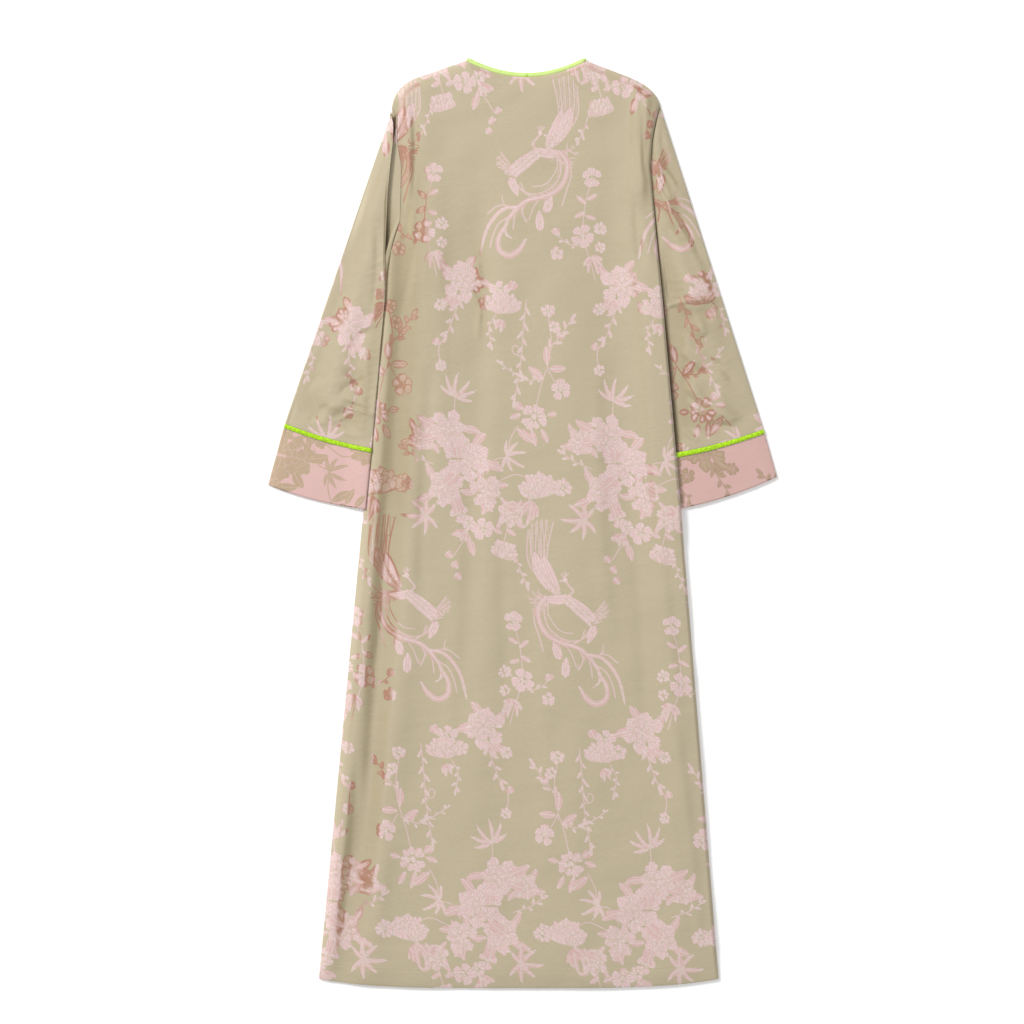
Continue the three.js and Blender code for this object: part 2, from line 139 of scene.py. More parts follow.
def smooth(value, low, high):
    share = np.clip((value - low) / (high - low), 0, 1)
    return share * share * (3 - 2 * share)


def mix(a, b, share):
    return a + (b - a) * share


def rolled(distance, width):
    """The rise from an edge: steep at the edge itself and level further in."""
    return 1 - (1 - np.clip(distance / width, 0, 1)) ** 3


# Folds and creases, each from one end to the other. bow is how far its middle lies to the right
# of the straight line, seen from the start. Width and height are those of a soft ridge, and a
# trough has a height below zero. BACK_FOLDS and the first ones of LEFT_FOLDS and RIGHT_FOLDS are
# the large folds, which the solids have too.
Fold = namedtuple("Fold", "x0 y0 x1 y1 bow width height")
BACK_FOLDS = [
    Fold(-176, 600, -264, -650, -22, 20, -3.4),
    Fold(-196, 380, -286, -640, -12, 13, 3.2),
    Fold(-148, 590, -226, -640, -20, 24, 2.6),
    Fold(-126, 500, -116, 20, 6, 20, 2.2),
    Fold(-64, 500, -84, -220, -6, 24, -1.8),
    Fold(-24, 420, -66, -480, 8, 26, 1.4),
    Fold(60, 300, 86, -560, -8, 40, 1.6),
    Fold(128, 560, 150, -60, 8, 28, -1.8),
    Fold(170, 470, 236, -600, -8, 22, 2),
    Fold(186, 640, 178, 490, 4, 7, 3),
    Fold(172, 648, 166, 470, 3, 8, 2.4),
    Fold(-176, 640, -166, 480, -3, 8, 2.4),
]
BACK_CREASES = [
    Fold(-160, 600, -172, 430, -4, 5, -1.5),
    Fold(-168, 560, -158, 400, 4, 5, 1.4),
    Fold(-150, 520, -176, 330, -5, 6, -1.1),
    Fold(180, 610, 181, 520, 2, 3.4, -1.5),
    Fold(190, 600, 186, 540, -1, 3, 1.2),
    Fold(164, 560, 176, 380, 3, 6, -1.2),
    Fold(184, 440, 196, 260, -3, 7, 1.1),
    Fold(-66, 388, -56, 352, 3, 4, 1.0),
    Fold(-70, 350, -58, 300, -3, 3.6, -0.9),
    Fold(-58, 330, -66, 276, 2, 4, 0.8),
    Fold(-204, 40, -226, -240, -5, 7, -1.4),
    Fold(-214, -120, -238, -420, 5, 8, 1.2),
    Fold(-250, -330, -268, -600, -4, 8, -1.2),
    Fold(-190, -260, -214, -600, 6, 12, 0.9),
    Fold(-132, 240, -150, -120, 6, 10, -0.9),
    Fold(-96, 60, -112, -340, -6, 12, 0.8),
    Fold(-30, 120, -20, -260, 5, 12, -0.8),
    Fold(22, -80, 34, -520, -6, 16, 0.9),
    Fold(110, 220, 128, -160, 6, 12, 0.9),
    Fold(150, 120, 182, -330, -7, 12, -1.0),
    Fold(206, 120, 240, -250, 4, 9, -0.8),
    Fold(96, -330, 108, -640, 5, 15, -0.8),
    Fold(224, -300, 262, -620, -4, 9, 0.9),
    Fold(-10, 640, -120, 610, -8, 14, 0.8),
    Fold(30, 640, 130, 604, 8, 14, 0.8),
    Fold(-120, 560, -60, 520, 6, 12, -0.6),
    Fold(60, 600, 140, 560, -8, 14, -0.6),
    Fold(-20, -560, -140, -590, 6, 14, 0.6),
    Fold(60, -590, 180, -560, 8, 16, 0.6),
]
LEFT_FOLDS = [
    Fold(-214, 500, -300, 160, -10, 20, 2.2),
    Fold(-240, 430, -318, 190, 6, 16, -2),
    Fold(-246, 190, -300, 150, 4, 11, 1.8),
    Fold(-262, 330, -226, 290, 3, 12, 1.2),
    Fold(-206, 570, -226, 470, 2, 6, -1.2),
    Fold(-216, 430, -222, 320, -3, 6, -1.1),
    Fold(-226, 286, -258, 256, 3, 7, -0.8),
    Fold(-236, 214, -270, 196, 2, 4.5, -0.9),
    Fold(-300, 210, -338, 168, 3, 7, 0.9),
    Fold(-252, 166, -286, 150, -2, 4.5, 0.8),
    Fold(-234, 250, -240, 150, -3, 7, 1.2),
    Fold(-290, 176, -318, 150, 2, 4, -0.7),
    Fold(-334, 192, -250, 150, 8, 14, -2.4),
    Fold(-266, 182, -224, 168, 2, 3.5, -1.2),
    Fold(-258, 172, -222, 160, -2, 3, 1.1),
    Fold(-300, 152, -238, 128, 3, 8, 1.2),
    Fold(-262, 232, -226, 176, -4, 9, -1.2),
]
RIGHT_FOLDS = [
    Fold(194, 545, 244, 420, 6, 9, 3),
    Fold(214, 420, 236, 130, -4, 12, -2.4),
    Fold(240, 380, 300, 170, -8, 18, 2.4),
    Fold(232, 330, 268, 282, -5, 9, 2.2),
    Fold(252, 200, 322, 150, 6, 10, 2.4),
    Fold(236, 172, 300, 128, 5, 8, -1.6),
    Fold(192, 548, 214, 486, 2, 3.6, -1.8),
    Fold(198, 540, 228, 500, -2, 3.4, 1.2),
    Fold(206, 590, 214, 540, 2, 5, -1.0),
    Fold(220, 470, 262, 400, -4, 6, -1.2),
    Fold(226, 300, 262, 262, -3, 5, -1.3),
    Fold(238, 256, 282, 228, 3, 6, 1.2),
    Fold(270, 250, 312, 214, -3, 6, -0.9),
    Fold(240, 196, 280, 170, 3, 4.5, -1.3),
    Fold(262, 152, 318, 146, -3, 4.5, 1.1),
    Fold(232, 150, 262, 120, 2, 4.5, 1.2),
    Fold(300, 190, 340, 160, 2, 7, -0.8),
    Fold(250, 420, 290, 330, 4, 9, 1.0),
    Fold(240, 156, 326, 150, 5, 9, -1.8),
    Fold(214, 322, 286, 332, -4, 3.4, 1.6),
    Fold(220, 304, 280, 312, 0, 12, -2.0),
    Fold(222, 214, 292, 238, 0, 10, -1.8),
    Fold(209, 404, 218, 336, 0, 4, -1.4),
    Fold(226, 250, 236, 150, 2, 9, -1.4),
]
FOLD_FADE = 0.16


def fold_height(folds, x, y):
    total = np.zeros_like(x)
    for fold in folds:
        length = math.hypot(fold.x1 - fold.x0, fold.y1 - fold.y0)
        along_x = (fold.x1 - fold.x0) / length
        along_y = (fold.y1 - fold.y0) / length
        share = ((x - fold.x0) * along_x + (y - fold.y0) * along_y) / length
        off = (x - fold.x0) * along_y - (y - fold.y0) * along_x
        off = off - fold.bow * 4 * share * (1 - share)
        fade = smooth(share, -FOLD_FADE, FOLD_FADE) * (1 - smooth(share, 1 - FOLD_FADE, 1 + FOLD_FADE))
        total += fold.height * fade * np.exp(-((off / fold.width) ** 2))
    return total


# Slight unevenness of the whole cloth: a few long waves, wavelengths in millimetres
RIPPLES = [
    (rng.uniform(0, math.tau), rng.uniform(60, 190), rng.uniform(0, math.tau)) for _ in range(14)]
RIPPLE_HEIGHT = 0.16
CRUMPLES = [
    (rng.normal(math.pi / 2, 0.35), rng.uniform(9, 30), rng.uniform(0, math.tau)) for _ in range(16)]
CRUMPLE_HEIGHT = 0.02


def ripple(x, y):
    total = np.zeros_like(x)
    for waves, height in ((RIPPLES, RIPPLE_HEIGHT), (CRUMPLES, CRUMPLE_HEIGHT)):
        for angle, length, phase in waves:
            across = x * math.cos(angle) + y * math.sin(angle)
            bend = np.sin((x * math.sin(angle) - y * math.cos(angle)) / (length * 0.9) + phase)
            total += height * np.sin(math.tau * across / length + phase + 1.6 * bend)
    return total


# Neckline, as the middle line of the piping
def back_neck(share):
    side = 2 * share - 1
    return np.stack([
        NECK_MIDDLE + NECK_WIDTH / 2 * side,
        NECK_LEVEL - BACK_NECK_DROP * (1 - side * side),
    ], axis=-1)


def front_neck(share):
    return np.stack([
        NECK_MIDDLE + NECK_WIDTH / 2 * np.cos(math.pi * share),
        NECK_LEVEL - FRONT_NECK_DROP * np.sin(math.pi * share),
    ], axis=-1)


def move_sideways(points, distance):
    """Points of a line moved to the right of its direction."""
    step = np.gradient(points, axis=0)
    step /= np.linalg.norm(step, axis=1, keepdims=True)
    return points + distance * np.stack([step[:, 1], -step[:, 0]], axis=1)


def bezier(start, corner, end, count):
    t = np.linspace(0, 1, count)[:, None]
    start, corner, end = map(np.array, (start, corner, end))
    return mix(mix(start, corner, t), mix(corner, end, t), t)


def upper_edge(neck):
    return np.concatenate([
        bezier((-194, 618), (-190, 648), (-160, 661), 16),
        neck,
        bezier((163, 661), (200, 645), (205, 618), 16),
    ])


def hem_y(share):
    return HEM_CORNER - HEM_SAG * (1 - np.abs(2 * share - 1) ** HEM_SAG_POWER)


def sheet_grid(levels, shares, top):
    """Plan of a body panel: a row for each level, a column for each share of its width."""
    y = levels[:, None]
    share = shares[None, :]
    from_top = (ARMHOLE_TOP - y) / (ARMHOLE_TOP - HEM_CORNER)
    left = side_at("left", y)
    right = side_at("right", y)
    x = mix(left, right, share)
    top_y = np.interp(mix(top[0, 0], top[-1, 0], share), top[:, 0], top[:, 1])
    rise = smooth(y, SHOULDER_FROM, ARMHOLE_TOP) * (top_y - ARMHOLE_TOP)
    place = y + rise + from_top * (hem_y(share) - HEM_CORNER)
    return x, place, share * np.ones_like(place), top_y, right - left


# How an edge of cloth turns under: how far out and how far down at each step
EDGE_TURN = [(0.3, -0.2), (0.42, -0.6), (0.2, -1.0), (-0.8, -1.15), (-7.0, -1.15)]


def turn_under(grid, turn=EDGE_TURN, lowest=BODY_TOP - CLOTH):
    """Adds a turned-under border to all four sides of a grid of points."""
    for axis in (1, 0):
        for end in (0, -1):
            edge = np.take(grid, [end], axis=axis)
            inside = np.take(grid, [1 if end == 0 else -2], axis=axis)
            out = edge - inside
            out[..., 2] = 0
            out /= np.maximum(np.linalg.norm(out, axis=-1, keepdims=True), 1e-9)
            steps = [edge + out * away + np.array([0, 0, down]) for away, down in turn]
            if end == 0:
                grid = np.concatenate(steps[::-1] + [grid], axis=axis)
            else:
                grid = np.concatenate([grid] + steps, axis=axis)
    grid[..., 2] = np.maximum(grid[..., 2], lowest)
    return grid


def add_mesh(name, points, quads):
    mesh = bpy.data.meshes.new(name)
    mesh.from_pydata([], [], [])
    mesh.vertices.add(len(points))
    mesh.vertices.foreach_set("co", np.asarray(points, dtype=np.float32).ravel())
    quads = np.asarray(quads, dtype=np.int32)
    mesh.loops.add(quads.size)
    mesh.loops.foreach_set("vertex_index", quads.ravel())
    mesh.polygons.add(len(quads))
    mesh.polygons.foreach_set("loop_start", np.arange(0, quads.size, 4, dtype=np.int32))
    mesh.polygons.foreach_set("use_smooth", np.ones(len(quads), dtype=bool))
    mesh.update()
    mesh.validate()
    piece = bpy.data.objects.new(name, mesh)
    bpy.context.collection.objects.link(piece)
    return piece


def grid_quads(rows, columns, ring=False, closed=False):
    """Faces over a grid of points. ring joins the last column to the first, closed the last row."""
    row = np.arange(rows if closed else rows - 1)[:, None]
    column = np.arange(columns if ring else columns - 1)[None, :]
    here = row * columns + column
    right = row * columns + (column + 1) % columns
    up = ((row + 1) % rows) * columns + column
    across = ((row + 1) % rows) * columns + (column + 1) % columns
    return np.stack([here, right, across, up], axis=-1).reshape(-1, 4)


def to_frame(grid):
    """Garment millimetres to the metres of the frame."""
    points = np.asarray(grid, dtype=float).reshape(-1, 3).copy()
    points[:, 1] += ORIGIN_Y
    return points * MM


def body_levels(step):
    heights = [ARMHOLE_TOP, *[side.y for side in SIDES[1:]]]
    levels = [heights[0]]
    for high, low in zip(heights, heights[1:]):
        count = max(1, round((high - low) / step))
        levels.extend(np.linspace(high, low, count + 1)[1:])
    return np.array(levels)


def turned_by(grid):
    """How much the cloth turns from level at each point, from 0 to 1."""
    across = np.gradient(grid, axis=1)
    down = np.gradient(grid, axis=0)
    normal = np.cross(across, down)
    normal /= np.maximum(np.linalg.norm(normal, axis=-1, keepdims=True), 1e-9)
    return smooth(np.hypot(normal[..., 0], normal[..., 1]), 0.06, 0.42)


BACK_COLUMNS = 190
BACK_STEP = 2.95


def back_panel():
    shares = np.linspace(0, 1, BACK_COLUMNS + 1)
    top = upper_edge(back_neck(np.linspace(0, 1, 61)))
    x, y, share, top_y, width = sheet_grid(body_levels(BACK_STEP), shares, top)
    to_side = np.minimum(share, 1 - share) * width
    to_top = top_y - y
    to_hem = y - hem_y(share)
    to_right = (1 - share) * width
    roll = rolled(share * width, BODY_ROLL) * rolled(to_right, RIGHT_ROLL)
    roll = roll * rolled(to_top, BODY_ROLL) * rolled(to_hem + 8, HEM_ROLL)
    lift = BODY_OVER_SLEEVE * smooth(UNDERARM - y, 0, 60) * smooth(y, -40, 18)
    lift = lift * (1 - smooth(to_right, 8, 50))
    folds = fold_height(BACK_FOLDS, x, y) + fold_height(BACK_CREASES, x, y)
    height = BODY_LOFT * roll + lift + folds * np.sqrt(roll) + ripple(x, y) * np.sqrt(roll)
    height += HEM_RISE * (1 - smooth(to_hem, HEM_ALLOWANCE - 2, HEM_ALLOWANCE + 2))
    # The highest folds are eased down to HIGHEST over their last 2 mm
    bend = HIGHEST - 2
    height = np.where(height > bend, bend + 2 * np.tanh((height - bend) / 2), height)
    grid = np.stack([x, y, BODY_TOP + np.maximum(height, 0.0)], axis=-1)
    # Painted shade where the cloth turns from level, kept off the side edges and the top
    turned = turned_by(grid) * smooth(to_side, 4, 20) * smooth(to_top, 2, 14)
    grid = turn_under(grid)
    piece = add_mesh("back", to_frame(grid), grid_quads(*grid.shape[:2]))
    return piece, grid, *[np.pad(values, len(EDGE_TURN), mode="edge") for values in (turned, to_hem)]


FRONT_COLUMNS = 96
FRONT_STEP = 6


def front_panel():
    shares = np.linspace(0, 1, FRONT_COLUMNS + 1)
    top = upper_edge(front_neck(np.linspace(1, 0, 61)))
    x, y, *_ = sheet_grid(body_levels(FRONT_STEP), shares, top)
    # The slit lies between two columns, which run straight down to its end
    left = np.searchsorted(x[0], NECK_MIDDLE) - 1
    bottom = NECK_LEVEL - FRONT_NECK_DROP - FRONT_SLIT_LENGTH
    shift = NECK_MIDDLE - x[:, left:left + 2].mean(axis=1)
    shift *= smooth(y[:, left], bottom - 60, bottom)
    x += shift[:, None] * np.exp(-(((np.arange(x.shape[1]) - left - 0.5) / 8) ** 2))
    slit = y[:, left] > bottom
    half = FRONT_SLIT_WIDTH / 2 * (y[slit, left] - bottom) / FRONT_SLIT_LENGTH
    x[slit, left] = NECK_MIDDLE - half
    x[slit, left + 1] = NECK_MIDDLE + half
    grid = np.stack([x, y, np.full_like(x, CLOTH)], axis=-1)
    turn = [(0.0, -0.4), (-0.5, -1.0), (-7.0, -1.1)]
    grid = turn_under(grid, turn, lowest=0.1)
    rows, columns = grid.shape[:2]
    whole = np.ones((rows - 1, columns - 1), dtype=bool)
    whole[:len(turn) + np.count_nonzero(slit) - 1, len(turn) + left] = False
    piece = add_mesh("front", to_frame(grid), grid_quads(rows, columns)[whole.ravel()])
    return piece, grid


def line_length(points):
    steps = np.linalg.norm(np.diff(points, axis=0), axis=1)
    return np.concatenate([[0], np.cumsum(steps)])


def along(points, share):
    points = np.asarray(points, dtype=float)
    length = line_length(points)
    place = np.asarray(share) * length[-1]
    return np.stack([np.interp(place, length, points[:, k]) for k in (0, 1)], axis=-1)


# Where the left sleeve folds back over its own armhole
LEFT_FOLD_CREST = [
    (-195.4, 610), (-191.5, 594), (-192, 568), (-196, 534), (-200, 492), (-204, 400), (-204.5, 331)]
CUFFS = {
    "left": ((-354, 145.5), (-224, 108.5), (-378, 58), (-233, 22)),
    "right": ((359, 137), (224.5, 101), (378, 70), (230, 22)),
}
CUFF_SEAM_BOW = 3.6
CUFF_EDGE_BOW = 5.2


def bowed(outer, inner, bow, t):
    line = mix(np.array(outer, dtype=float), np.array(inner, dtype=float), t[:, None])
    line[:, 1] -= bow * 4 * t * (1 - t)
    return line


def cuff_line(side, share, t):
    seam_outer, seam_inner, edge_outer, edge_inner = CUFFS[side]
    seam = bowed(seam_outer, seam_inner, CUFF_SEAM_BOW, t)
    edge = bowed(edge_outer, edge_inner, CUFF_EDGE_BOW, t)
    return mix(seam, edge, share)


def cuff_depth(side):
    seam_outer, _, edge_outer, _ = CUFFS[side]
    return math.dist(seam_outer, edge_outer)


def reach(start, end, x, y):
    length = math.dist(start, end)
    return np.abs((end[0] - start[0]) * (y - start[1]) - (end[1] - start[1]) * (x - start[0])) / length


# Steps round a tube's folded edges, and how many points of its top there are to each below
FOLD_STEPS = 5
UNDER_STEP = 4


def tube(layers):
    """A flattened tube. Each layer is one line across it: plan points, top and bottom heights."""
    rows = []
    turns = np.linspace(0, math.pi, FOLD_STEPS + 2)[1:-1]
    for line, high, low in layers:
        ends = []
        for end, inside in ((-1, -2), (0, 1)):
            radius = max((high[end] - low[end]) / 2, 0.05)
            out = line[end] - line[inside]
            out = out / max(np.linalg.norm(out), 1e-9)
            middle = line[end] - out * radius
            ends.append((middle, out, radius, (high[end] + low[end]) / 2))
        keep = np.ones(len(line), dtype=bool)
        for middle, out, _, _ in ends:
            keep &= (line - middle) @ out < 0.01
        t = np.linspace(0, 1, len(line))
        inside = np.flatnonzero(keep)
        t_kept = np.linspace(t[inside[0]], t[inside[-1]], len(line))
        flat = np.stack([np.interp(t_kept, t, line[:, k]) for k in (0, 1)], axis=-1)
        top = np.column_stack([flat, np.interp(t_kept, t, high)])
        under = np.column_stack([flat, np.interp(t_kept, t, low)])[::-UNDER_STEP]
        inner, outer = [
            np.array([[*(middle + out * radius * math.sin(turn)), level + radius * math.cos(turn)]
                      for turn in (turns if end == 0 else turns[::-1])])
            for end, (middle, out, radius, level) in enumerate(ends)]
        rows.append(np.concatenate([top, inner, under, outer]))
    return np.array(rows)


SLEEVE_COLUMNS = 110
SLEEVE_STEP = 1.9


def armhole_line(side, t):
    y = np.linspace(ARMHOLE_TOP, UNDERARM, 60)
    edge = np.stack([side_at(side, y), y], axis=-1)
    return along(move_sideways(edge, SEAM_GAP if side == "left" else -SEAM_GAP), t)


def over_body(side, x, y):
    """The left sleeve climbs over the body's edge below the armhole."""
    if side == "right":
        return np.zeros_like(x)
    return SLEEVE_OVER_BODY * smooth(x - side_at("left", y), -48, -1.5) * smooth(UNDERARM - y, 0, 20)


def sleeve_top(side, loft, fold_share, x, y):
    edge_outer, edge_inner = CUFFS[side][2:]
    start = LEFT_FOLD_CREST if side == "left" else armhole_line("right", np.linspace(0, 1, 60))
    roll = rolled(reach(start[0], edge_outer, x, y), SLEEVE_ROLL)
    if side == "right":
        roll = roll * rolled(reach(start[-1], edge_inner, x, y), SLEEVE_ROLL)
    folds = fold_height(LEFT_FOLDS if side == "left" else RIGHT_FOLDS, x, y)
    base = (over_body(side, x, y) ** 4 + (loft * roll) ** 4) ** 0.25
    return SLEEVE_EDGE + np.maximum(base + fold_share * (folds + 1.5 * ripple(x, y)) * roll, 0)


# The scene's cloth stays this little above the floor
LOWEST = 0.05


def tube_layer(side, line, loft, fold_share):
    x, y = line[:, 0], line[:, 1]
    return line, sleeve_top(side, loft, fold_share, x, y), np.maximum(over_body(side, x, y), LOWEST)


# How far the armhole's fold is tucked in, how round its bend is, how far its side swells, and the
# heights of its three layers of cloth, the middle one as the level that the others refer to
TUCK_DEPTH = 7.5
TUCK_ROUND = 1.3
TUCK_BELLY = 1.6
TUCK_LEVEL = 2.4
TUCK_UNDER = -2.0
TUCK_BEND = 0.4
TUCK_TOP = 1.9


def left_fold_layers(t):
    """The left sleeve's fold over its own armhole: out from the seam, under, and over."""
    armhole = armhole_line("left", t)
    crest = along(LEFT_FOLD_CREST, t)
    deep = np.sin(math.pi * np.clip(t * 1.2, 0, 1)) ** 0.5
    over = over_body("left", crest[:, 0], crest[:, 1])
    level = TUCK_LEVEL + over
    tuck = crest - np.stack([TUCK_DEPTH * deep, 0 * t], axis=-1)
    crest_top = sleeve_top("left", LEFT_FOLD_LOFT, 0, crest[:, 0], crest[:, 1])
    layers = []
    for share in np.linspace(0, 1, 7):
        line = mix(armhole, tuck, share)
        high = mix(SLEEVE_EDGE, level + TUCK_BEND, share)
        layers.append((line, high, mix(0.0, level + TUCK_UNDER, share)))
    for turn in np.linspace(0, math.pi / 2, 6)[1:]:
        line = tuck + np.stack([-TUCK_ROUND * deep * math.sin(turn), 0 * t], axis=-1)
        high = level + mix(TUCK_BEND, TUCK_TOP, 1 - math.cos(turn))
        layers.append((line, high, level + TUCK_UNDER))
    for share in np.linspace(0, 1, 8)[1:]:
        out = TUCK_BELLY * deep * math.sin(math.pi * share) - TUCK_ROUND * (1 - share)
        line = mix(tuck, crest, share) + np.stack([out, 0 * t], axis=-1)
        high = mix(level + TUCK_TOP, crest_top, share * share)
        layers.append((line, high, mix(level + TUCK_UNDER, over, share)))
    return layers


def sleeve(side):
    t = np.linspace(0, 1, SLEEVE_COLUMNS + 1)
    on_left = side == "left"
    layers = left_fold_layers(t) if on_left else []
    start = along(LEFT_FOLD_CREST, t) if on_left else armhole_line("right", t)
    seam_share = (PIPING_WIDTH / 2 + SEAM_GAP) / cuff_depth(side)
    end = cuff_line(side, -seam_share, t)
    middle = SLEEVE_COLUMNS // 2
    count = round(math.dist(start[middle], end[middle]) / SLEEVE_STEP)
    for k in range(1 if on_left else 0, count + 1):
        share = k / count
        loft = mix(LEFT_FOLD_LOFT if on_left else SLEEVE_LOFT, CUFF_LOFT, share)
        fold_share = smooth(share, 0, 0.06) * (1 - smooth(share, 0.94, 1))
        layers.append(tube_layer(side, mix(start, end, share), loft, fold_share))
    grid = tube(layers)
    piece = add_mesh(f"sleeve_cloth_{side}", to_frame(grid), grid_quads(*grid.shape[:2], ring=True))
    return piece, grid


CUFF_COLUMNS = 90


def cuff(side):
    t = np.linspace(0, 1, CUFF_COLUMNS + 1)
    depth = cuff_depth(side)
    seam_share = (PIPING_WIDTH / 2 + SEAM_GAP) / depth
    layers = [tube_layer(side, cuff_line(side, share, t), CUFF_LOFT, 0.4)
              for share in np.linspace(seam_share, 1, 46)]
    # The edge turns in, and the cloth goes on inside for a little
    line, high, low = layers[-1]
    end = cuff_line(side, 1 + 0.4 / depth, t)
    inside = cuff_line(side, 1 - 5 / depth, t)
    layers.append((end, high - 0.6, low + 0.6))
    layers.append((line, high - 1.1, low + 1.1))
    layers.append((inside, high - 1.1, low + 1.1))
    grid = tube(layers)
    piece = add_mesh(f"cuff_band_{side}", to_frame(grid), grid_quads(*grid.shape[:2], ring=True))
    return piece, grid


CUFF_CORD_RISE = 2.1


def cuff_piping(side):
    t = np.linspace(0, 1, CUFF_COLUMNS + 1)
    depth = cuff_depth(side)
    layers = []
    for place in np.linspace(-0.5, 0.5, 13):
        rise = CUFF_CORD_RISE * math.sqrt(1 - 3.4 * place * place)
        line = cuff_line(side, place * PIPING_WIDTH / depth, t)
        line, high, low = tube_layer(side, line, CUFF_LOFT, 0.2)
        layers.append((line, high + rise, low))
    grid = tube(layers)
    piece = add_mesh(f"cuff_cord_{side}", to_frame(grid), grid_quads(*grid.shape[:2], ring=True))
    return piece, grid


NECK_CORD_HEIGHT = 3.4


def neck_cord():
    back = back_neck(np.linspace(0, 1, 90))
    front = front_neck(np.linspace(0, 1, 140))[1:-1]
    line = np.concatenate([back, front])
    base = np.concatenate([np.full(len(back), CLOTH + SEAM_GAP), np.zeros(len(front))])
    height = np.concatenate([
        np.full(len(back), NECK_CORD_HEIGHT),
        CLOTH * (1 + smooth(NECK_LEVEL - front[:, 1], 12, 50)),
    ])
    # The strip's ends meet at the centre back
    join = np.exp(-(((line[:, 0] - NECK_MIDDLE) / 1.5) ** 2)) * (base > 0)
    height = height + 0.5 * join
    step = np.roll(line, -1, axis=0) - np.roll(line, 1, axis=0)
    step /= np.linalg.norm(step, axis=1, keepdims=True)
    turns = np.arange(16) * math.tau / 16
    out = PIPING_WIDTH / 2 * np.cos(turns)
    up = height[:, None] / 2 * (1 + np.sin(turns)) + base[:, None]
    x = line[:, :1] + step[:, 1:] * out
    y = line[:, 1:] - step[:, :1] * out
    grid = np.stack([x, y, up], axis=-1)
    piece = add_mesh("neck_cord", to_frame(grid), grid_quads(*grid.shape[:2], ring=True, closed=True))
    # The second value is the share of painted highlight on the top of the cord, less at the join
    return piece, 0.85 * smooth(np.sin(turns), 0.5, 0.95) * (1 - 0.9 * join[:, None])


# The jacquard: birds, peonies and sprays in the traditional manner. Places in one repeat are
# offsets from its bird in steps of PHOTO_SCALE mm, to the right and down. A repeat is 235 mm wide
# and 662 mm high, and every second row is mirrored.
REPEAT_WIDTH = 158 * PHOTO_SCALE
ROW_HEIGHT = 445 * PHOTO_SCALE
BIRD = (560, 595)
BIRD_MIRRORED = 545
STEM_REACH = 3.6
# How far the motifs of one repeat reach above and below its bird, where their middle lies beside
# it, and how far they reach to each side of that
MOTIFS_UP = 95 * PHOTO_SCALE
MOTIFS_DOWN = 400 * PHOTO_SCALE
MOTIFS_MIDDLE = 42 * PHOTO_SCALE
MOTIFS_HALF = 105 * PHOTO_SCALE


# The fields of the weave where no figure lies, in mm
NO_RING = 4.0
NOTHING = {"figure": -9.0, "vein": 4.0, "ring": NO_RING, "stem": 4.0, "reach": -4.0, "strand": 0.0}


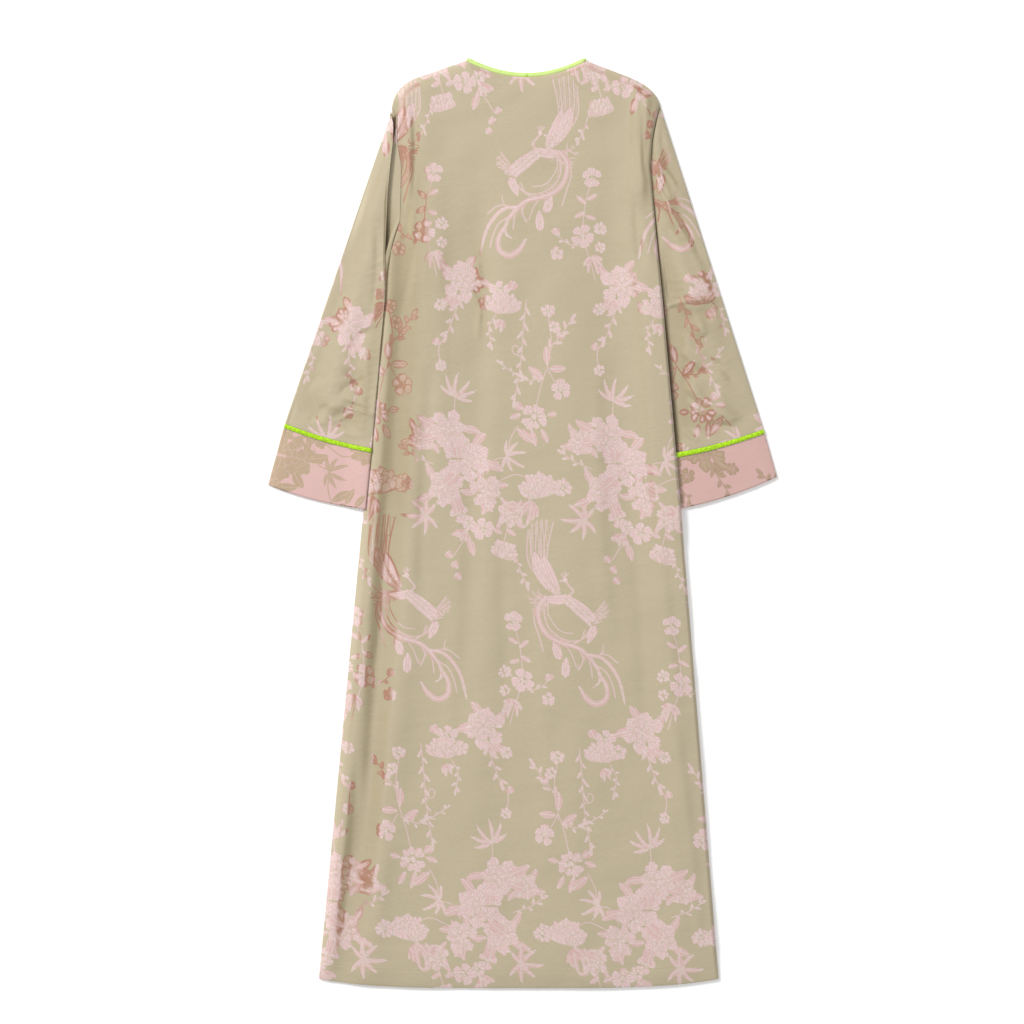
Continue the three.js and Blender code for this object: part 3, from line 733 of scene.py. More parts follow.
class Weave:
    """Fields of the pattern at points of the flat cloth. figure is how far a point lies inside a
    woven figure. vein changes sign at the middle line of a leaf and from one petal to the next,
    and ring from one ring of petals to the next. stem is how far beside a thin line a point lies,
    reach how far inside that line's ends, and strand how far off a leaf's middle line."""

    def __init__(self, x, y):
        self.x = x.ravel()
        self.y = y.ravel()
        for name, nothing in NOTHING.items():
            setattr(self, name, np.full(self.x.shape, nothing))
        self.place = (0, 0, 1)
        self.rng = np.random.default_rng(3)

    def at(self, point):
        x, y, mirror = self.place
        return np.array([x + mirror * point[0] * PHOTO_SCALE, y - point[1] * PHOTO_SCALE])

    def near(self, low, high, margin):
        inside = (self.x > low[0] - margin) & (self.x < high[0] + margin)
        inside &= (self.y > low[1] - margin) & (self.y < high[1] + margin)
        return np.flatnonzero(inside)

    def lay(self, near, depth, edge, **fields):
        """Lays a figure over what is there. depth is how far each point lies inside it, and the
        fields change where that is more than edge."""
        on_top = depth > edge
        for name, values in fields.items():
            getattr(self, name)[near[on_top]] = values[on_top]
        self.figure[near] = np.maximum(self.figure[near], depth)

    def leaf(self, start, end, half_width, bow=0.0, blunt=1.0, petal=None):
        """A leaf with a vein, or a petal where petal gives its signs among its neighbours and
        rings. A blunt below 1 rounds its tip and moves its widest place outwards."""
        start, end = self.at(start), self.at(end)
        mirror = self.place[2]
        length = max(np.linalg.norm(end - start), 1e-6)
        along_x, along_y = (end - start) / length
        half_width = half_width * PHOTO_SCALE
        bow = bow * PHOTO_SCALE * mirror
        near = self.near(np.minimum(start, end), np.maximum(start, end), half_width + abs(bow) + 4)
        if not len(near):
            return
        x = self.x[near] - start[0]
        y = self.y[near] - start[1]
        share = (x * along_x + y * along_y) / length
        off = x * along_y - y * along_x - bow * 4 * share * (1 - share)
        inside = np.clip(share, 0.001, 0.999)
        rise, fall = 0.75, 0.75 * blunt
        widest = (rise / (rise + fall)) ** rise * (fall / (rise + fall)) ** fall
        profile = inside ** rise * (1 - inside) ** fall / widest
        to_end = length * np.minimum(share, 1 - share) + 0.4
        depth = np.minimum(half_width * profile - np.abs(off), to_end)
        rim = np.clip(depth, 0.5, 1.5)
        vein = off if petal is None else petal[0] * rim
        ring = rim * 0 + NO_RING if petal is None else petal[1] * rim
        self.lay(near, depth, -0.6, vein=vein, ring=ring, strand=off)

    def leaves(self, half_width, *ends):
        for start, end in ends:
            self.leaf(start, end, half_width)

    def disc(self, middle, radius, ring=0.5):
        middle = self.at(middle)
        radius = radius * PHOTO_SCALE
        near = self.near(middle, middle, radius + 4)
        off = np.hypot(self.x[near] - middle[0], self.y[near] - middle[1])
        self.lay(near, radius - off, 0, vein=off - ring * radius, ring=off * 0 + NO_RING)

    def beside(self, points, margin):
        """The points of cloth near a line: how far each is from it, on which side, and how far along."""
        points = np.array([self.at(point) for point in points])
        if len(points) > 2:
            points = rounded(points, 6)
        near = self.near(points.min(axis=0), points.max(axis=0), margin)
        place = np.stack([self.x[near], self.y[near]], axis=-1)
        gap = np.full(len(near), 1e9)
        side = np.zeros(len(near))
        share = np.zeros(len(near))
        length = line_length(points)
        for k, (start, end) in enumerate(zip(points, points[1:])):
            size = max(length[k + 1] - length[k], 1e-6)
            step = (end - start) / size
            rel = place - start
            on_line = np.clip(rel @ step, 0, size)
            off = np.linalg.norm(rel - on_line[:, None] * step, axis=1)
            closer = off < gap
            gap = np.where(closer, off, gap)
            side = np.where(closer, np.sign(rel[:, 0] * step[1] - rel[:, 1] * step[0]), side)
            share = np.where(closer, (length[k] + on_line) / max(length[-1], 1e-6), share)
        return near, gap, side * self.place[2], share

    def line(self, points, width=1.0):
        """A thin line, rounded between its points."""
        near, gap, side, _ = self.beside(points, STEM_REACH + 3)
        closer = STEM_REACH - gap > self.reach[near]
        self.reach[near[closer]] = (STEM_REACH - gap)[closer]
        self.stem[near[closer]] = (side * gap / width)[closer]

    def band(self, points, widths, flip=1):
        """A band along a line, with its half widths spaced evenly along it."""
        most = max(widths) * PHOTO_SCALE
        near, gap, side, share = self.beside(points, most + 4)
        half = np.interp(share, np.linspace(0, 1, len(widths)), np.array(widths) * PHOTO_SCALE)
        off = side * gap
        self.lay(near, half - gap, -0.5, vein=off * flip, ring=off * 0 + NO_RING, strand=off)


def rounded(points, steps):
    """A smooth line through points, as Catmull and Rom pieces."""
    ends = np.concatenate([[2 * points[0] - points[1]], points, [2 * points[-1] - points[-2]]])
    t = np.linspace(0, 1, steps, endpoint=False)[:, None]
    pieces = []
    for a, b, c, d in zip(ends, ends[1:], ends[2:], ends[3:]):
        square = 2 * a - 5 * b + 4 * c - d
        cube = 3 * b - a - 3 * c + d
        pieces.append(0.5 * (2 * b + (c - a) * t + square * t ** 2 + cube * t ** 3))
    return np.concatenate([*pieces, points[-1:]])


def sign_of(k):
    return 1 if k % 2 else -1


def polar(middle, angle, radius):
    return middle[0] + radius * math.cos(angle), middle[1] - radius * math.sin(angle)


# How much the petals of one flower differ in length
UNEVEN = 0.1


def petals(weave, middle, radius, count, turn=0.0, fat=0.8, start=0.14, blunt=0.3, ring=1):
    for k in range(count):
        angle = turn + math.tau * k / count + weave.rng.normal(0, 0.07)
        size = radius * (1 + weave.rng.uniform(-UNEVEN, UNEVEN))
        half = min(size * math.tan(math.pi / count) * fat, size * 0.42)
        weave.leaf(
            polar(middle, angle, radius * start), polar(middle, angle, size),
            half, bow=weave.rng.normal(0, 0.05) * size, blunt=blunt, petal=(sign_of(k), ring))


def clear(weave, middle, radius):
    """Ground round a part of a flower that lies over petals, so that it stands out."""
    place = weave.at(middle)
    radius = radius * PHOTO_SCALE
    near = weave.near(place, place, radius + 2)
    off = np.hypot(weave.x[near] - place[0], weave.y[near] - place[1])
    weave.figure[near] = np.minimum(weave.figure[near], off - radius)


def daisy(weave, middle, radius, count=8, turn=0.3):
    petals(weave, middle, radius, count, turn, fat=0.7, start=0.3, blunt=0.45)
    weave.disc(middle, radius * 0.2, 0.6)


def rose(weave, middle, radius, turn=0.2):
    petals(weave, middle, radius * 1.12, 5, turn, fat=0.72, blunt=0.26)
    clear(weave, middle, radius * 0.36)
    petals(weave, middle, radius * 0.32, 4, turn + 0.5, fat=0.8, start=0.0, ring=-1)


def ragged(weave, root, middle, angle, size, half, petal):
    """A petal of three pointed lobes."""
    for lobe, share in ((-0.26, 0.86), (0.24, 0.9), (0.0, 1.0)):
        tip = polar(middle, angle + lobe * weave.rng.uniform(0.8, 1.3), size * share)
        weave.leaf(root, tip, half, bow=weave.rng.normal(0, 0.05) * size, blunt=0.42, petal=petal)


# Rings of petals as shares of a flower's radius
PetalRing = namedtuple("PetalRing", "size root half count sign")
PEONY_RINGS = [
    PetalRing(1.2, 0.35, 0.2, 6, 1),
    PetalRing(0.82, 0.2, 0.17, 6, -1),
    PetalRing(0.46, 0.0, 0.12, 4, 1),
]
HALF_PEONY_RINGS = [
    PetalRing(1.15, 0.25, 0.17, 5, 1),
    PetalRing(0.8, 0.25, 0.17, 4, -1),
    PetalRing(0.48, 0.25, 0.17, 3, 1),
]
PEONY_LEAVES = 4


def peony(weave, middle, radius, turn=0.0):
    for k in range(PEONY_LEAVES):
        angle = turn + 0.4 + math.tau * k / PEONY_LEAVES + weave.rng.normal(0, 0.35)
        size = radius * weave.rng.uniform(1.6, 2.0)
        root = polar(middle, angle, radius * 0.7)
        weave.leaf(root, polar(middle, angle + 0.15, size), radius * 0.24, bow=radius * 0.08)
    for ring in PEONY_RINGS:
        for k in range(ring.count):
            angle = turn + 2 * ring.size + math.tau * k / ring.count + weave.rng.normal(0, 0.1)
            ragged(weave, polar(middle, angle, radius * ring.root), middle, angle,
                   radius * ring.size * weave.rng.uniform(0.84, 1.12), radius * ring.half,
                   (sign_of(k), ring.sign))


def half_peony(weave, middle, radius, facing=1.57):
    """A peony from the side, opening to the angle that it faces."""
    for ring in HALF_PEONY_RINGS:
        root = polar(middle, facing + math.pi, radius * ring.root)
        for k in range(ring.count):
            angle = facing + (k - (ring.count - 1) / 2) * 3.0 / ring.count
            size = radius * ring.size * weave.rng.uniform(0.9, 1.12)
            ragged(weave, root, middle, angle, size, radius * ring.half, (sign_of(k), ring.sign))


def bud(weave, middle, radius, facing=1.57):
    root = polar(middle, facing + math.pi, radius * 0.7)
    for turn in (-0.55, 0.55, 0.0):
        weave.leaf(root, polar(middle, facing + turn, radius), radius * 0.42, blunt=0.55)


def leaf_fan(weave, root, length, facing, spread=1.6, count=5, half=1.9):
    for k in range(count):
        turn = facing + (k / (count - 1) - 0.5) * spread
        size = length * (1 - 0.3 * abs(k / (count - 1) - 0.5) * 2) * weave.rng.uniform(0.85, 1.1)
        bow = size * 0.07 * (1 if 2 * k < count else -1)
        weave.leaf(root, polar(root, turn, size), half, bow=bow, blunt=1.3)


def sprig(weave, points, leaf_length=8, half=2.0, pairs=4, lean=0.8):
    """A stem with leaves at each side in turn."""
    weave.line(points)
    line = np.array(points, dtype=float)
    if len(line) > 2:
        line = rounded(line, 8)
    for k in range(2 * pairs):
        share = (k + 0.5) / (2 * pairs)
        here, ahead, behind = [
            along(line, np.clip(share + step, 0, 1)) for step in (0, 0.05, -0.05)]
        facing = math.atan2(-(ahead - behind)[1], (ahead - behind)[0])
        side = sign_of(k)
        size = leaf_length * weave.rng.uniform(0.9, 1.4)
        root = polar(here, facing + side * lean, 1.2)
        end = polar(here, facing + side * lean * 0.9, size)
        weave.leaf(root, end, half * 0.92, bow=side * 0.07 * size)
    last = np.array(points[-1], dtype=float) - np.array(points[-2], dtype=float)
    facing = math.atan2(-last[1], last[0])
    weave.leaf(points[-1], polar(points[-1], facing, leaf_length * 1.3), half)


def feathers(weave, root, middles, tips, width=1.3):
    for middle, tip in zip(middles, tips):
        weave.line([root, middle, tip], width)


def phoenix(weave):
    # Raised wing: long feathers in a fan from a broad shoulder of short ones
    feathers(weave, (-13, -10),
             [(-32, -34), (-28, -38), (-24, -41), (-20, -43), (-16.5, -44), (-13, -44)],
             [(-32, -65), (-28, -72), (-23, -75), (-18, -76), (-13, -76), (-7, -74)], 1.25)
    weave.leaf((-6, -3), (-26, -44), 5.6, bow=-3.4, blunt=0.8, petal=(1, 1))
    weave.leaf((0, -4), (-17, -40), 5.0, bow=-1.5, blunt=0.8, petal=(-1, 1))
    for row in range(3):
        for k in range(5):
            x, y = -24 + 4.6 * k + 1.2 * row, -30 + 5.4 * k + 3.2 * row
            signs = (sign_of(k), sign_of(row))
            weave.leaf((x + 2.4, y + 6), (x - 0.8, y - 3), 2.2, blunt=0.4, petal=signs)
    # Head, neck and body
    weave.line([(8, -1), (13, -6), (9, -11), (5.5, -16)], 1.9)
    weave.disc((5, -17), 2.6, 0.4)
    weave.leaf((3.4, -17), (-1.5, -15.4), 1.2, petal=(1, 1))
    for turn in (1.0, 1.6, 2.3):
        weave.line([(4.6, -18.5), polar((4.6, -18.5), turn, 5.5)])
    weave.leaf((-17, 1), (12, -1), 4.8, bow=3.0, blunt=0.9, petal=(1, -1))
    # Lower wing, spread to the right
    feathers(weave, (17, 17),
             [(31, 18), (31, 20), (31, 22), (30, 24), (29, 26)],
             [(44, 3.5), (47, 8), (48, 13), (46, 18), (40, 24)], 1.2)
    weave.leaf((4, -3), (36, 22), 6.4, bow=2.0, blunt=0.75, petal=(1, 1))
    for row in range(2):
        for k in range(5):
            x, y = 8 + 5 * k - 2.6 * row, 2 + 4.4 * k + 3.6 * row
            signs = (sign_of(k), sign_of(row))
            weave.leaf((x - 1.5, y - 2.2), (x + 5, y + 3.4), 2.3, blunt=0.4, petal=signs)
    # Tail: a trunk of strands that leave it one by one and curl
    weave.band(
        [(-15, 1), (-22, 12), (-20, 27), (-12, 39), (2, 46), (19, 51), (31, 62), (39, 74), (39, 84),
         (33, 89)],
        [2.0, 2.4, 2.6, 2.6, 2.4, 2.2, 2.0, 1.6, 0.9])
    for points, width in (
        ([(-12, 3), (-16, 16), (-12, 30), (-1, 40), (12, 44), (24, 40), (31, 30)], 1.4),
        ([(-11, 4), (-12, 16), (-5, 29), (3, 35), (12, 36)], 1.1),
        ([(-24, 10), (-26, 24), (-21, 40), (-17, 54)], 1.3),
        ([(-14, 36), (-2, 46), (2, 60)], 1.2),
        ([(2, 45), (15, 50), (23, 60), (19, 72)], 1.5),
        ([(8, 46), (22, 54), (30, 66), (32, 79)], 1.3),
        ([(26, 58), (38, 56), (48, 57), (57, 64)], 1.3),
        ([(4, 47), (11, 56), (16, 69)], 1.1),
        ([(12, 47), (20, 43), (24, 33)], 1.1),
        ([(38, 58), (42, 53), (43, 47)], 1.0),
        ([(34, 66), (46, 74), (52, 86), (55, 98)], 1.3),
    ):
        weave.line(points, width)
    weave.band([(28, 57), (40, 59), (50, 67), (59, 82), (65, 106)], [1.6, 2.0, 2.0, 1.6, 0.8], -1)
    weave.band(
        [(38, 74), (46, 87), (46, 100), (36, 106), (26, 100), (19, 89)],
        [1.4, 2.2, 2.6, 3.0, 2.8, 1.2], -1)
    for start, end in (((6, 60), (5, 80)), ((-7, 46), (0, 62)), ((27, 46), (35, 28))):
        weave.leaf(start, end, 4.4, blunt=0.6, petal=(1, 1))
        weave.disc(mix(np.array(start, dtype=float), np.array(end, dtype=float), 0.6), 2.6, 0.5)
    # Small plumes over the root of the tail
    for turn, size in ((2.3, 9), (2.75, 13), (3.2, 16), (3.6, 15), (4.0, 17), (4.4, 15), (5.0, 11),
                       (5.5, 13), (5.95, 13)):
        weave.line([(-15, 0), polar((-16, 0), turn + 0.35, size * 0.6), polar((-16, 0), turn, size)])


def sprays(weave):
    # Upright spray to the left of the bird
    weave.line([(-46, 30), (-40, 52), (-38, 84), (-46, 112), (-50, 128)])
    rose(weave, (-47, 25), 9)
    weave.leaves(2.6, ((-42, 48), (-52, 42)), ((-41, 52), (-31, 44)), ((-40, 60), (-29, 66)),
                 ((-40, 64), (-51, 67)))
    rose(weave, (-37, 84), 10, 0.8)
    daisy(weave, (-55, 76), 6.5)
    daisy(weave, (-55, 95), 5.5, 6)
    leaf_fan(weave, (-46, 104), 21, -1.9, 1.9, 5, 2.1)
    sprig(weave, [(-34, 94), (-22, 92), (-12, 84)], 6, 1.6, 2)
    rose(weave, (-12, 102), 6)
    bud(weave, (-11, 81), 4.5)
    # Large flower with its leaves
    leaf_fan(weave, (70, 133), 14, 3.3, 1.2, 4, 2.4)
    leaf_fan(weave, (88, 146), 17, -1.1, 1.4, 5, 2.2)
    peony(weave, (82, 133), 17)
    sprig(weave, [(84, 148), (92, 170), (98, 186)], 8, 2.0, 3)
    daisy(weave, (104, 157), 6.5)
    bud(weave, (108, 193), 5, -1.2)
    daisy(weave, (104, 218), 6, 6)
    weave.line([(98, 186), (106, 200), (104, 218)])
    # Cluster of roses
    half_peony(weave, (41, 160), 15, 1.5)
    rose(weave, (45, 141), 9)
    bud(weave, (33, 137), 6, 2.1)
    rose(weave, (59, 154), 7, 0.5)
    leaf_fan(weave, (44, 170), 14, -1.3, 1.3, 4, 2.2)
    sprig(weave, [(50, 166), (56, 178), (54, 194)], 6, 1.6, 3)
    # Long thin stem with a tendril
    sprig(weave, [(19, 151), (22, 180), (24, 210), (30, 247)], 9, 1.7, 6, lean=0.6)
    weave.line([(24, 205), (31, 204), (33, 198), (29, 195), (27, 199)])
    # Branch with small flowers
    sprig(weave, [(-2, 200), (-14, 186), (-25, 170)], 8, 2.0, 3)
    daisy(weave, (-3, 160), 7, 6)
    daisy(weave, (-9, 176), 6, 6)
    bud(weave, (-15, 184), 4.5, 3.4)
    weave.line([(-3, 166), (-6, 190), (-3, 212), (4, 234), (9, 256)])
    weave.leaves(3.8, ((-2, 214), (-1, 195)), ((-4, 218), (-21, 217)), ((1, 228), (17, 216)))
    rose(weave, (-16, 238), 9)
    weave.line([(-2, 216), (-8, 228), (-16, 238)])
    sprig(weave, [(2, 226), (16, 230), (24, 226)], 6, 1.5, 3)
    sprig(weave, [(26, 226), (36, 220), (44, 214)], 5, 1.3, 2)
    daisy(weave, (11, 266), 13, 9)
    weave.leaves(3.0, ((4, 278), (-3, 292)), ((14, 278), (9, 296)), ((24, 264), (36, 268)),
                 ((-2, 264), (-12, 262)))
    bud(weave, (25, 257), 5.5, 0.6)
    weave.leaf((12, 292), (28, 278), 4.2)
    weave.line([(28, 276), (35, 290), (38, 306), (50, 310), (58, 324)])
    leaf_fan(weave, (38, 306), 25, 3.3, 3.5, 6, 1.9)
    # Leaves that stand over the large cluster
    leaf_fan(weave, (90, 248), 31, 2.0, 2.7, 6, 2.0)
    weave.line([(90, 248), (91, 270)])
    # Large cluster of peonies
    weave.leaves(3.6, ((112, 300), (138, 296)), ((60, 320), (46, 312)), ((88, 344), (84, 364)),
                 ((66, 352), (52, 362)))
    peony(weave, (122, 289), 13, 0.5)
    peony(weave, (59, 342), 14, 0.9)
    peony(weave, (101, 338), 16, 0.3)
    peony(weave, (78, 311), 19, 0.1)
    peony(weave, (97, 281), 17, 0.6)
    sprig(weave, [(112, 316), (128, 310), (140, 302)], 6, 1.7, 3)
    # Daisy and tall peony
    daisy(weave, (-17, 336), 9, 9)
    leaf_fan(weave, (14, 350), 26, -1.35, 1.2, 5, 2.8)
    half_peony(weave, (5, 342), 18, 1.5)
    weave.line([(12, 332), (28, 324), (48, 332)])
    leaf_fan(weave, (28, 356), 13, 0.2, 1.2, 4, 2.2)
    leaf_fan(weave, (-38, 367), 26, 0.0, 4.6, 7, 2.4)
    rose(weave, (62, 379), 10, 0.1)
    daisy(weave, (76, 374), 7, 7)
    leaf_fan(weave, (80, 384), 12, -1.4, 1.6, 4, 2.0)
    # Flowers above the bird
    peony(weave, (108, -80), 11, 0.2)
    half_peony(weave, (101, -40), 13, 1.3)
    rose(weave, (58, -80), 8, 0.7)
    weave.leaves(3.8, ((66, -63), (50, -59)), ((67, -71), (84, -61)), ((67, -56), (72, -38)))
    weave.leaves(2.8, ((104, -66), (114, -60)), ((100, -62), (91, -66)))
    weave.line([(59, -72), (66, -60), (58, -48), (52, -38)])
    weave.line([(106, -70), (103, -58), (101, -50)])
    for middle in ((48, -38), (54, -28), (57, -17)):
        bud(weave, middle, 5, 2.3)
    sprig(weave, [(114, -40), (118, -26), (124, -12)], 6, 1.8, 3)


def pattern(x, y):
    """Paints all repeats that touch the cloth."""
    weave = Weave(x, y)
    low_x, high_x, low_y, high_y = weave.x.min(), weave.x.max(), weave.y.min(), weave.y.max()
    for row in range(-3, 4):
        mirror = -1 if row % 2 else 1
        first_x, bird_y = garment_place((BIRD_MIRRORED if row % 2 else BIRD[0], BIRD[1]))
        place_y = bird_y + row * ROW_HEIGHT
        if place_y - MOTIFS_DOWN > high_y or place_y + MOTIFS_UP < low_y:
            continue
        for column in range(-4, 5):
            place_x = first_x + column * REPEAT_WIDTH
            middle = place_x + mirror * MOTIFS_MIDDLE
            if abs(middle - (low_x + high_x) / 2) > (high_x - low_x) / 2 + MOTIFS_HALF:
                continue
            weave.place = (place_x, place_y, mirror)
            weave.rng = np.random.default_rng(3)
            # The birds of the lowest row would start below the hem
            if row >= 0:
                phoenix(weave)
            sprays(weave)
    return weave


def to_linear(code):
    """An sRGB hex colour as linear red, green, blue and alpha."""
    values = [int(code[k:k + 2], 16) / 255 for k in (1, 3, 5)]
    return (*[v / 12.92 if v <= 0.04045 else ((v + 0.055) / 1.055) ** 2.4 for v in values], 1)


def new_material(name):
    material = bpy.data.materials.new(name)
    material.use_nodes = True
    shader = next(node for node in material.node_tree.nodes if node.type == "BSDF_PRINCIPLED")
    return material, shader


def fill_inputs(material, node, inputs):
    """Inputs by name or number are given plain values or the outputs of other nodes."""
    for key, value in inputs.items():
        if isinstance(value, bpy.types.NodeSocket):
            material.node_tree.links.new(value, node.inputs[key])
        else:
            node.inputs[key].default_value = value


def add_node(material, kind, *values, inputs=None, give=0, **settings):
    """Adds a node with its settings, fills its first inputs with values and those that inputs
    names, and gives back one of its outputs."""
    node = material.node_tree.nodes.new("ShaderNode" + kind)
    for key, value in settings.items():
        setattr(node, key, value)
    fill_inputs(material, node, {**dict(enumerate(values)), **(inputs or {})})
    return node.outputs[give]


# Settings of the nodes that ease between two values, and of those that mix the colours in their
# inputs 6 and 7
EASED = {"interpolation_type": "SMOOTHSTEP"}
COLOURS = {"data_type": "RGBA", "give": 2}

# ground_deep, figure_deep and rim are painted shade, the colours of ground, figure and outlines where
# the cloth turns and in its folds; figure_pale is a painted highlight on the floats; ground_deep also
# colours the hem stitches
Yarns = namedtuple("Yarns", "ground ground_deep figure figure_pale figure_deep rim")
# Dark brown painted shadow for the depth of a fold
PAINTED_FOLD_SHADOW = "#3b2718"
STITCH_PITCH = 3.2


def jacquard_material(name, yarns, ground_rough, figure_rough):
    """Woven cloth with a satin figure on a matt ground. Shade is painted where the cloth turns and in
    its folds: there the ground darkens, the figure sinks towards the ground's colour, the lines round
    and in it show in the colour of rim, and the depth of a fold is painted dark brown."""
    material, shader = new_material(name)
    add = partial(add_node, material)
    ground, ground_deep, figure, figure_pale, figure_deep, rim = map(to_linear, yarns)
    within, vein, ring, stem, reach, strand, turned, to_hem = [
        add("Attribute", attribute_name=label, give="Fac") for label in (*NOTHING, "turned", "hem")]
    from_edge, vein, ring, stem = [
        add("Math", off, operation="ABSOLUTE") for off in (within, vein, ring, stem)]
    flat = add("Attribute", attribute_name="flat", give="Vector")

    # Steps of the weave break the edges of the figures up, about 1.2 mm long
    breaks = add("TexNoise", flat, inputs={"Scale": 0.8, "Detail": 1.0})
    streaks = add("Mapping", flat, inputs={"Scale": (0.14, 1.1, 1.0)})
    streak = add("TexNoise", streaks, inputs={"Scale": 1.0, "Detail": 3.0})
    broken = add("Math", breaks, 1.7, -0.85, operation="MULTIPLY_ADD")
    inside = add("MapRange", add("Math", within, broken, operation="ADD"), -0.3, 0.3, **EASED)
    nearest = add("Math", vein, ring, operation="MINIMUM")
    line = add("MapRange", nearest, 0.85, 0.25, **EASED)
    # Short wrinkles within the petals, where the pattern's floats are bound down
    wrinkle = add("TexNoise", flat, inputs={"Scale": 0.12, "Detail": 1.5, "Distortion": 0.8})
    wrinkle = add("Math", add("Math", wrinkle, 0.5, operation="SUBTRACT"), operation="ABSOLUTE")
    wrinkle = add("MapRange", wrinkle, 0.022, 0.004, 0.0, 0.5, **EASED)
    line = add("Math", line, wrinkle, operation="MAXIMUM")
    stem = add("MapRange", stem, 1.15, 0.55, **EASED)
    stem = add("Math", stem, add("MapRange", reach, 0.0, 1.0, **EASED), operation="MULTIPLY")
    # How much of the figure's yarn lies on top, less where it is worn
    bound = add("Math", line, -0.46, 1.0, operation="MULTIPLY_ADD")
    cover = add("Math", inside, bound, operation="MULTIPLY")
    cover = add("Math", cover, add("Math", stem, 0.85, operation="MULTIPLY"), operation="MAXIMUM")
    worn = add("Math", streak, 0.5, 0.72, operation="MULTIPLY_ADD")
    cover = add("Math", cover, add("Math", worn, 1.0, operation="MINIMUM"), operation="MULTIPLY")

    # turned is painted shade: it rises from 0 to 1 where the cloth turns away, and to 2 in the depth of
    # a fold, and darkens the ground towards ground_deep
    darker = add("Math", turned, 0.8, operation="MULTIPLY")
    ground_colour = add("Mix", darker, inputs={6: ground, 7: ground_deep}, **COLOURS)
    # Floats lie in strands about 4 mm wide, drawn wider than real, with a painted highlight along them
    # and beside the lines that bind them
    strand = add("Math", strand, 1.6, operation="MULTIPLY")
    strand = add("Math", add("Math", breaks, 3.0, strand, operation="MULTIPLY_ADD"), operation="SINE")
    pale = add("Math", add("MapRange", nearest, 2.6, 0.9, 0.0, 0.3, **EASED),
               add("MapRange", strand, -0.3, 1.0, 0.0, 0.3, **EASED), operation="ADD")
    # In painted shade small leaves turn to the rim's rust-brown whole, large flowers only near their
    # edges
    shade_tint = add("Math", add("MapRange", turned, 0.1, 0.5, **EASED),
                add("MapRange", within, 1.6, 4.2, 0.95, 0.1, **EASED), operation="MULTIPLY")
    # Painted shade sinks the figure towards its deep colour
    sunk = add("MapRange", turned, 0.55, 0.95, **EASED)
    shown = figure
    for share, colour in ((pale, figure_pale), (shade_tint, rim), (sunk, figure_deep)):
        shown = add("Mix", share, inputs={6: shown, 7: colour}, **COLOURS)
    colour = add("Mix", cover, inputs={6: ground_colour, 7: shown}, **COLOURS)
    edge = add("MapRange", from_edge, 1.3, 0.3, **EASED)
    drawn = add("Math", edge, add("Math", line, inside, operation="MULTIPLY"), operation="MAXIMUM")
    drawn = add("Math", drawn, stem, operation="MAXIMUM")
    # In painted shade the outlines and stems are drawn in the rim's rust-brown
    lined = add("MapRange", turned, 0.12, 0.75, 0.0, 0.7, **EASED)
    lined = add("Math", drawn, lined, operation="MULTIPLY")
    # Painted shadow: the depth of a fold is painted dark brown
    deep = add("MapRange", turned, 1.0, 2.0, 0.0, 0.85, **EASED)
    # A row of stitches holds the hem, each about 2 mm long with a gap of 1 mm
    beside = add("Math", add("Math", to_hem, HEM_ALLOWANCE, operation="SUBTRACT"), operation="ABSOLUTE")
    across = add("Math", add("SeparateXYZ", flat), math.tau / STITCH_PITCH, operation="MULTIPLY")
    dash = add("MapRange", add("Math", across, operation="SINE"), -0.8, -0.2, 0.0, 0.45, **EASED)
    stitch = add("Math", add("MapRange", beside, 1.1, 0.3, **EASED), dash, operation="MULTIPLY")
    for share, over in ((lined, rim), (deep, to_linear(PAINTED_FOLD_SHADOW)), (stitch, ground_deep)):
        colour = add("Mix", share, inputs={6: colour, 7: over}, **COLOURS)
    # Fine streaks along the weft, lighter and darker by a few parts in a hundred
    shade = add("MapRange", streak, 0.0, 1.0, 0.88, 1.1)
    shade = add("CombineColor", shade, shade, shade)
    colour = add("Mix", 1.0, inputs={6: colour, 7: shade}, blend_type="MULTIPLY", **COLOURS)

    # The drawn threads are about twice as coarse as real ones, so that they show at all
    threads = add("Mapping", flat, inputs={"Scale": (0.35, 1.6, 1.0)})
    thread = add("TexNoise", threads, inputs={"Scale": 1.0, "Detail": 2.0})
    crinkles = add("Mapping", flat, inputs={"Scale": (0.055, 0.24, 1.0)})
    crinkle = add("TexNoise", crinkles, inputs={"Scale": 1.0, "Detail": 2.0, "Distortion": 0.6})
    patches = add("TexNoise", flat, inputs={"Scale": 0.011, "Detail": 1.0})
    crinkle = add("Math", crinkle, add("MapRange", patches, 0.46, 0.7, **EASED), operation="MULTIPLY")
    bump = add("Bump", inputs={"Strength": 0.3, "Distance": 0.0015, "Height": crinkle})
    bump = add("Bump", inputs={"Strength": 0.25, "Distance": 0.0003, "Height": cover, "Normal": bump})
    bump = add("Bump", inputs={"Strength": 0.3, "Distance": 0.0003, "Height": thread, "Normal": bump})
    rough = add("MapRange", cover, 0.0, 1.0, ground_rough, figure_rough)
    fill_inputs(material, shader, {
        "Base Color": colour, "Roughness": rough, "Normal": bump,
        "Sheen Weight": 0.25, "Sheen Roughness": 0.4, "Specular IOR Level": 0.35})
    return material


# Outside: khaki ground with pink figures; in the painted shade of the folds the figures turn rust-brown
outside = Yarns("#beb195", "#a99b7a", "#d6b0ab", "#f0e1e1", "#bfa48e", "#a8745e")
jacquard = jacquard_material("jacquard", outside, 0.6, 0.44)
# The cuffs show the wrong side: pink ground with khaki figures
wrong_side = Yarns("#dab5af", "#bf958a", "#b8a184", "#bda88c", "#a08c70", "#8d6a55")
reverse = jacquard_material("jacquard_reverse", wrong_side, 0.5, 0.6)


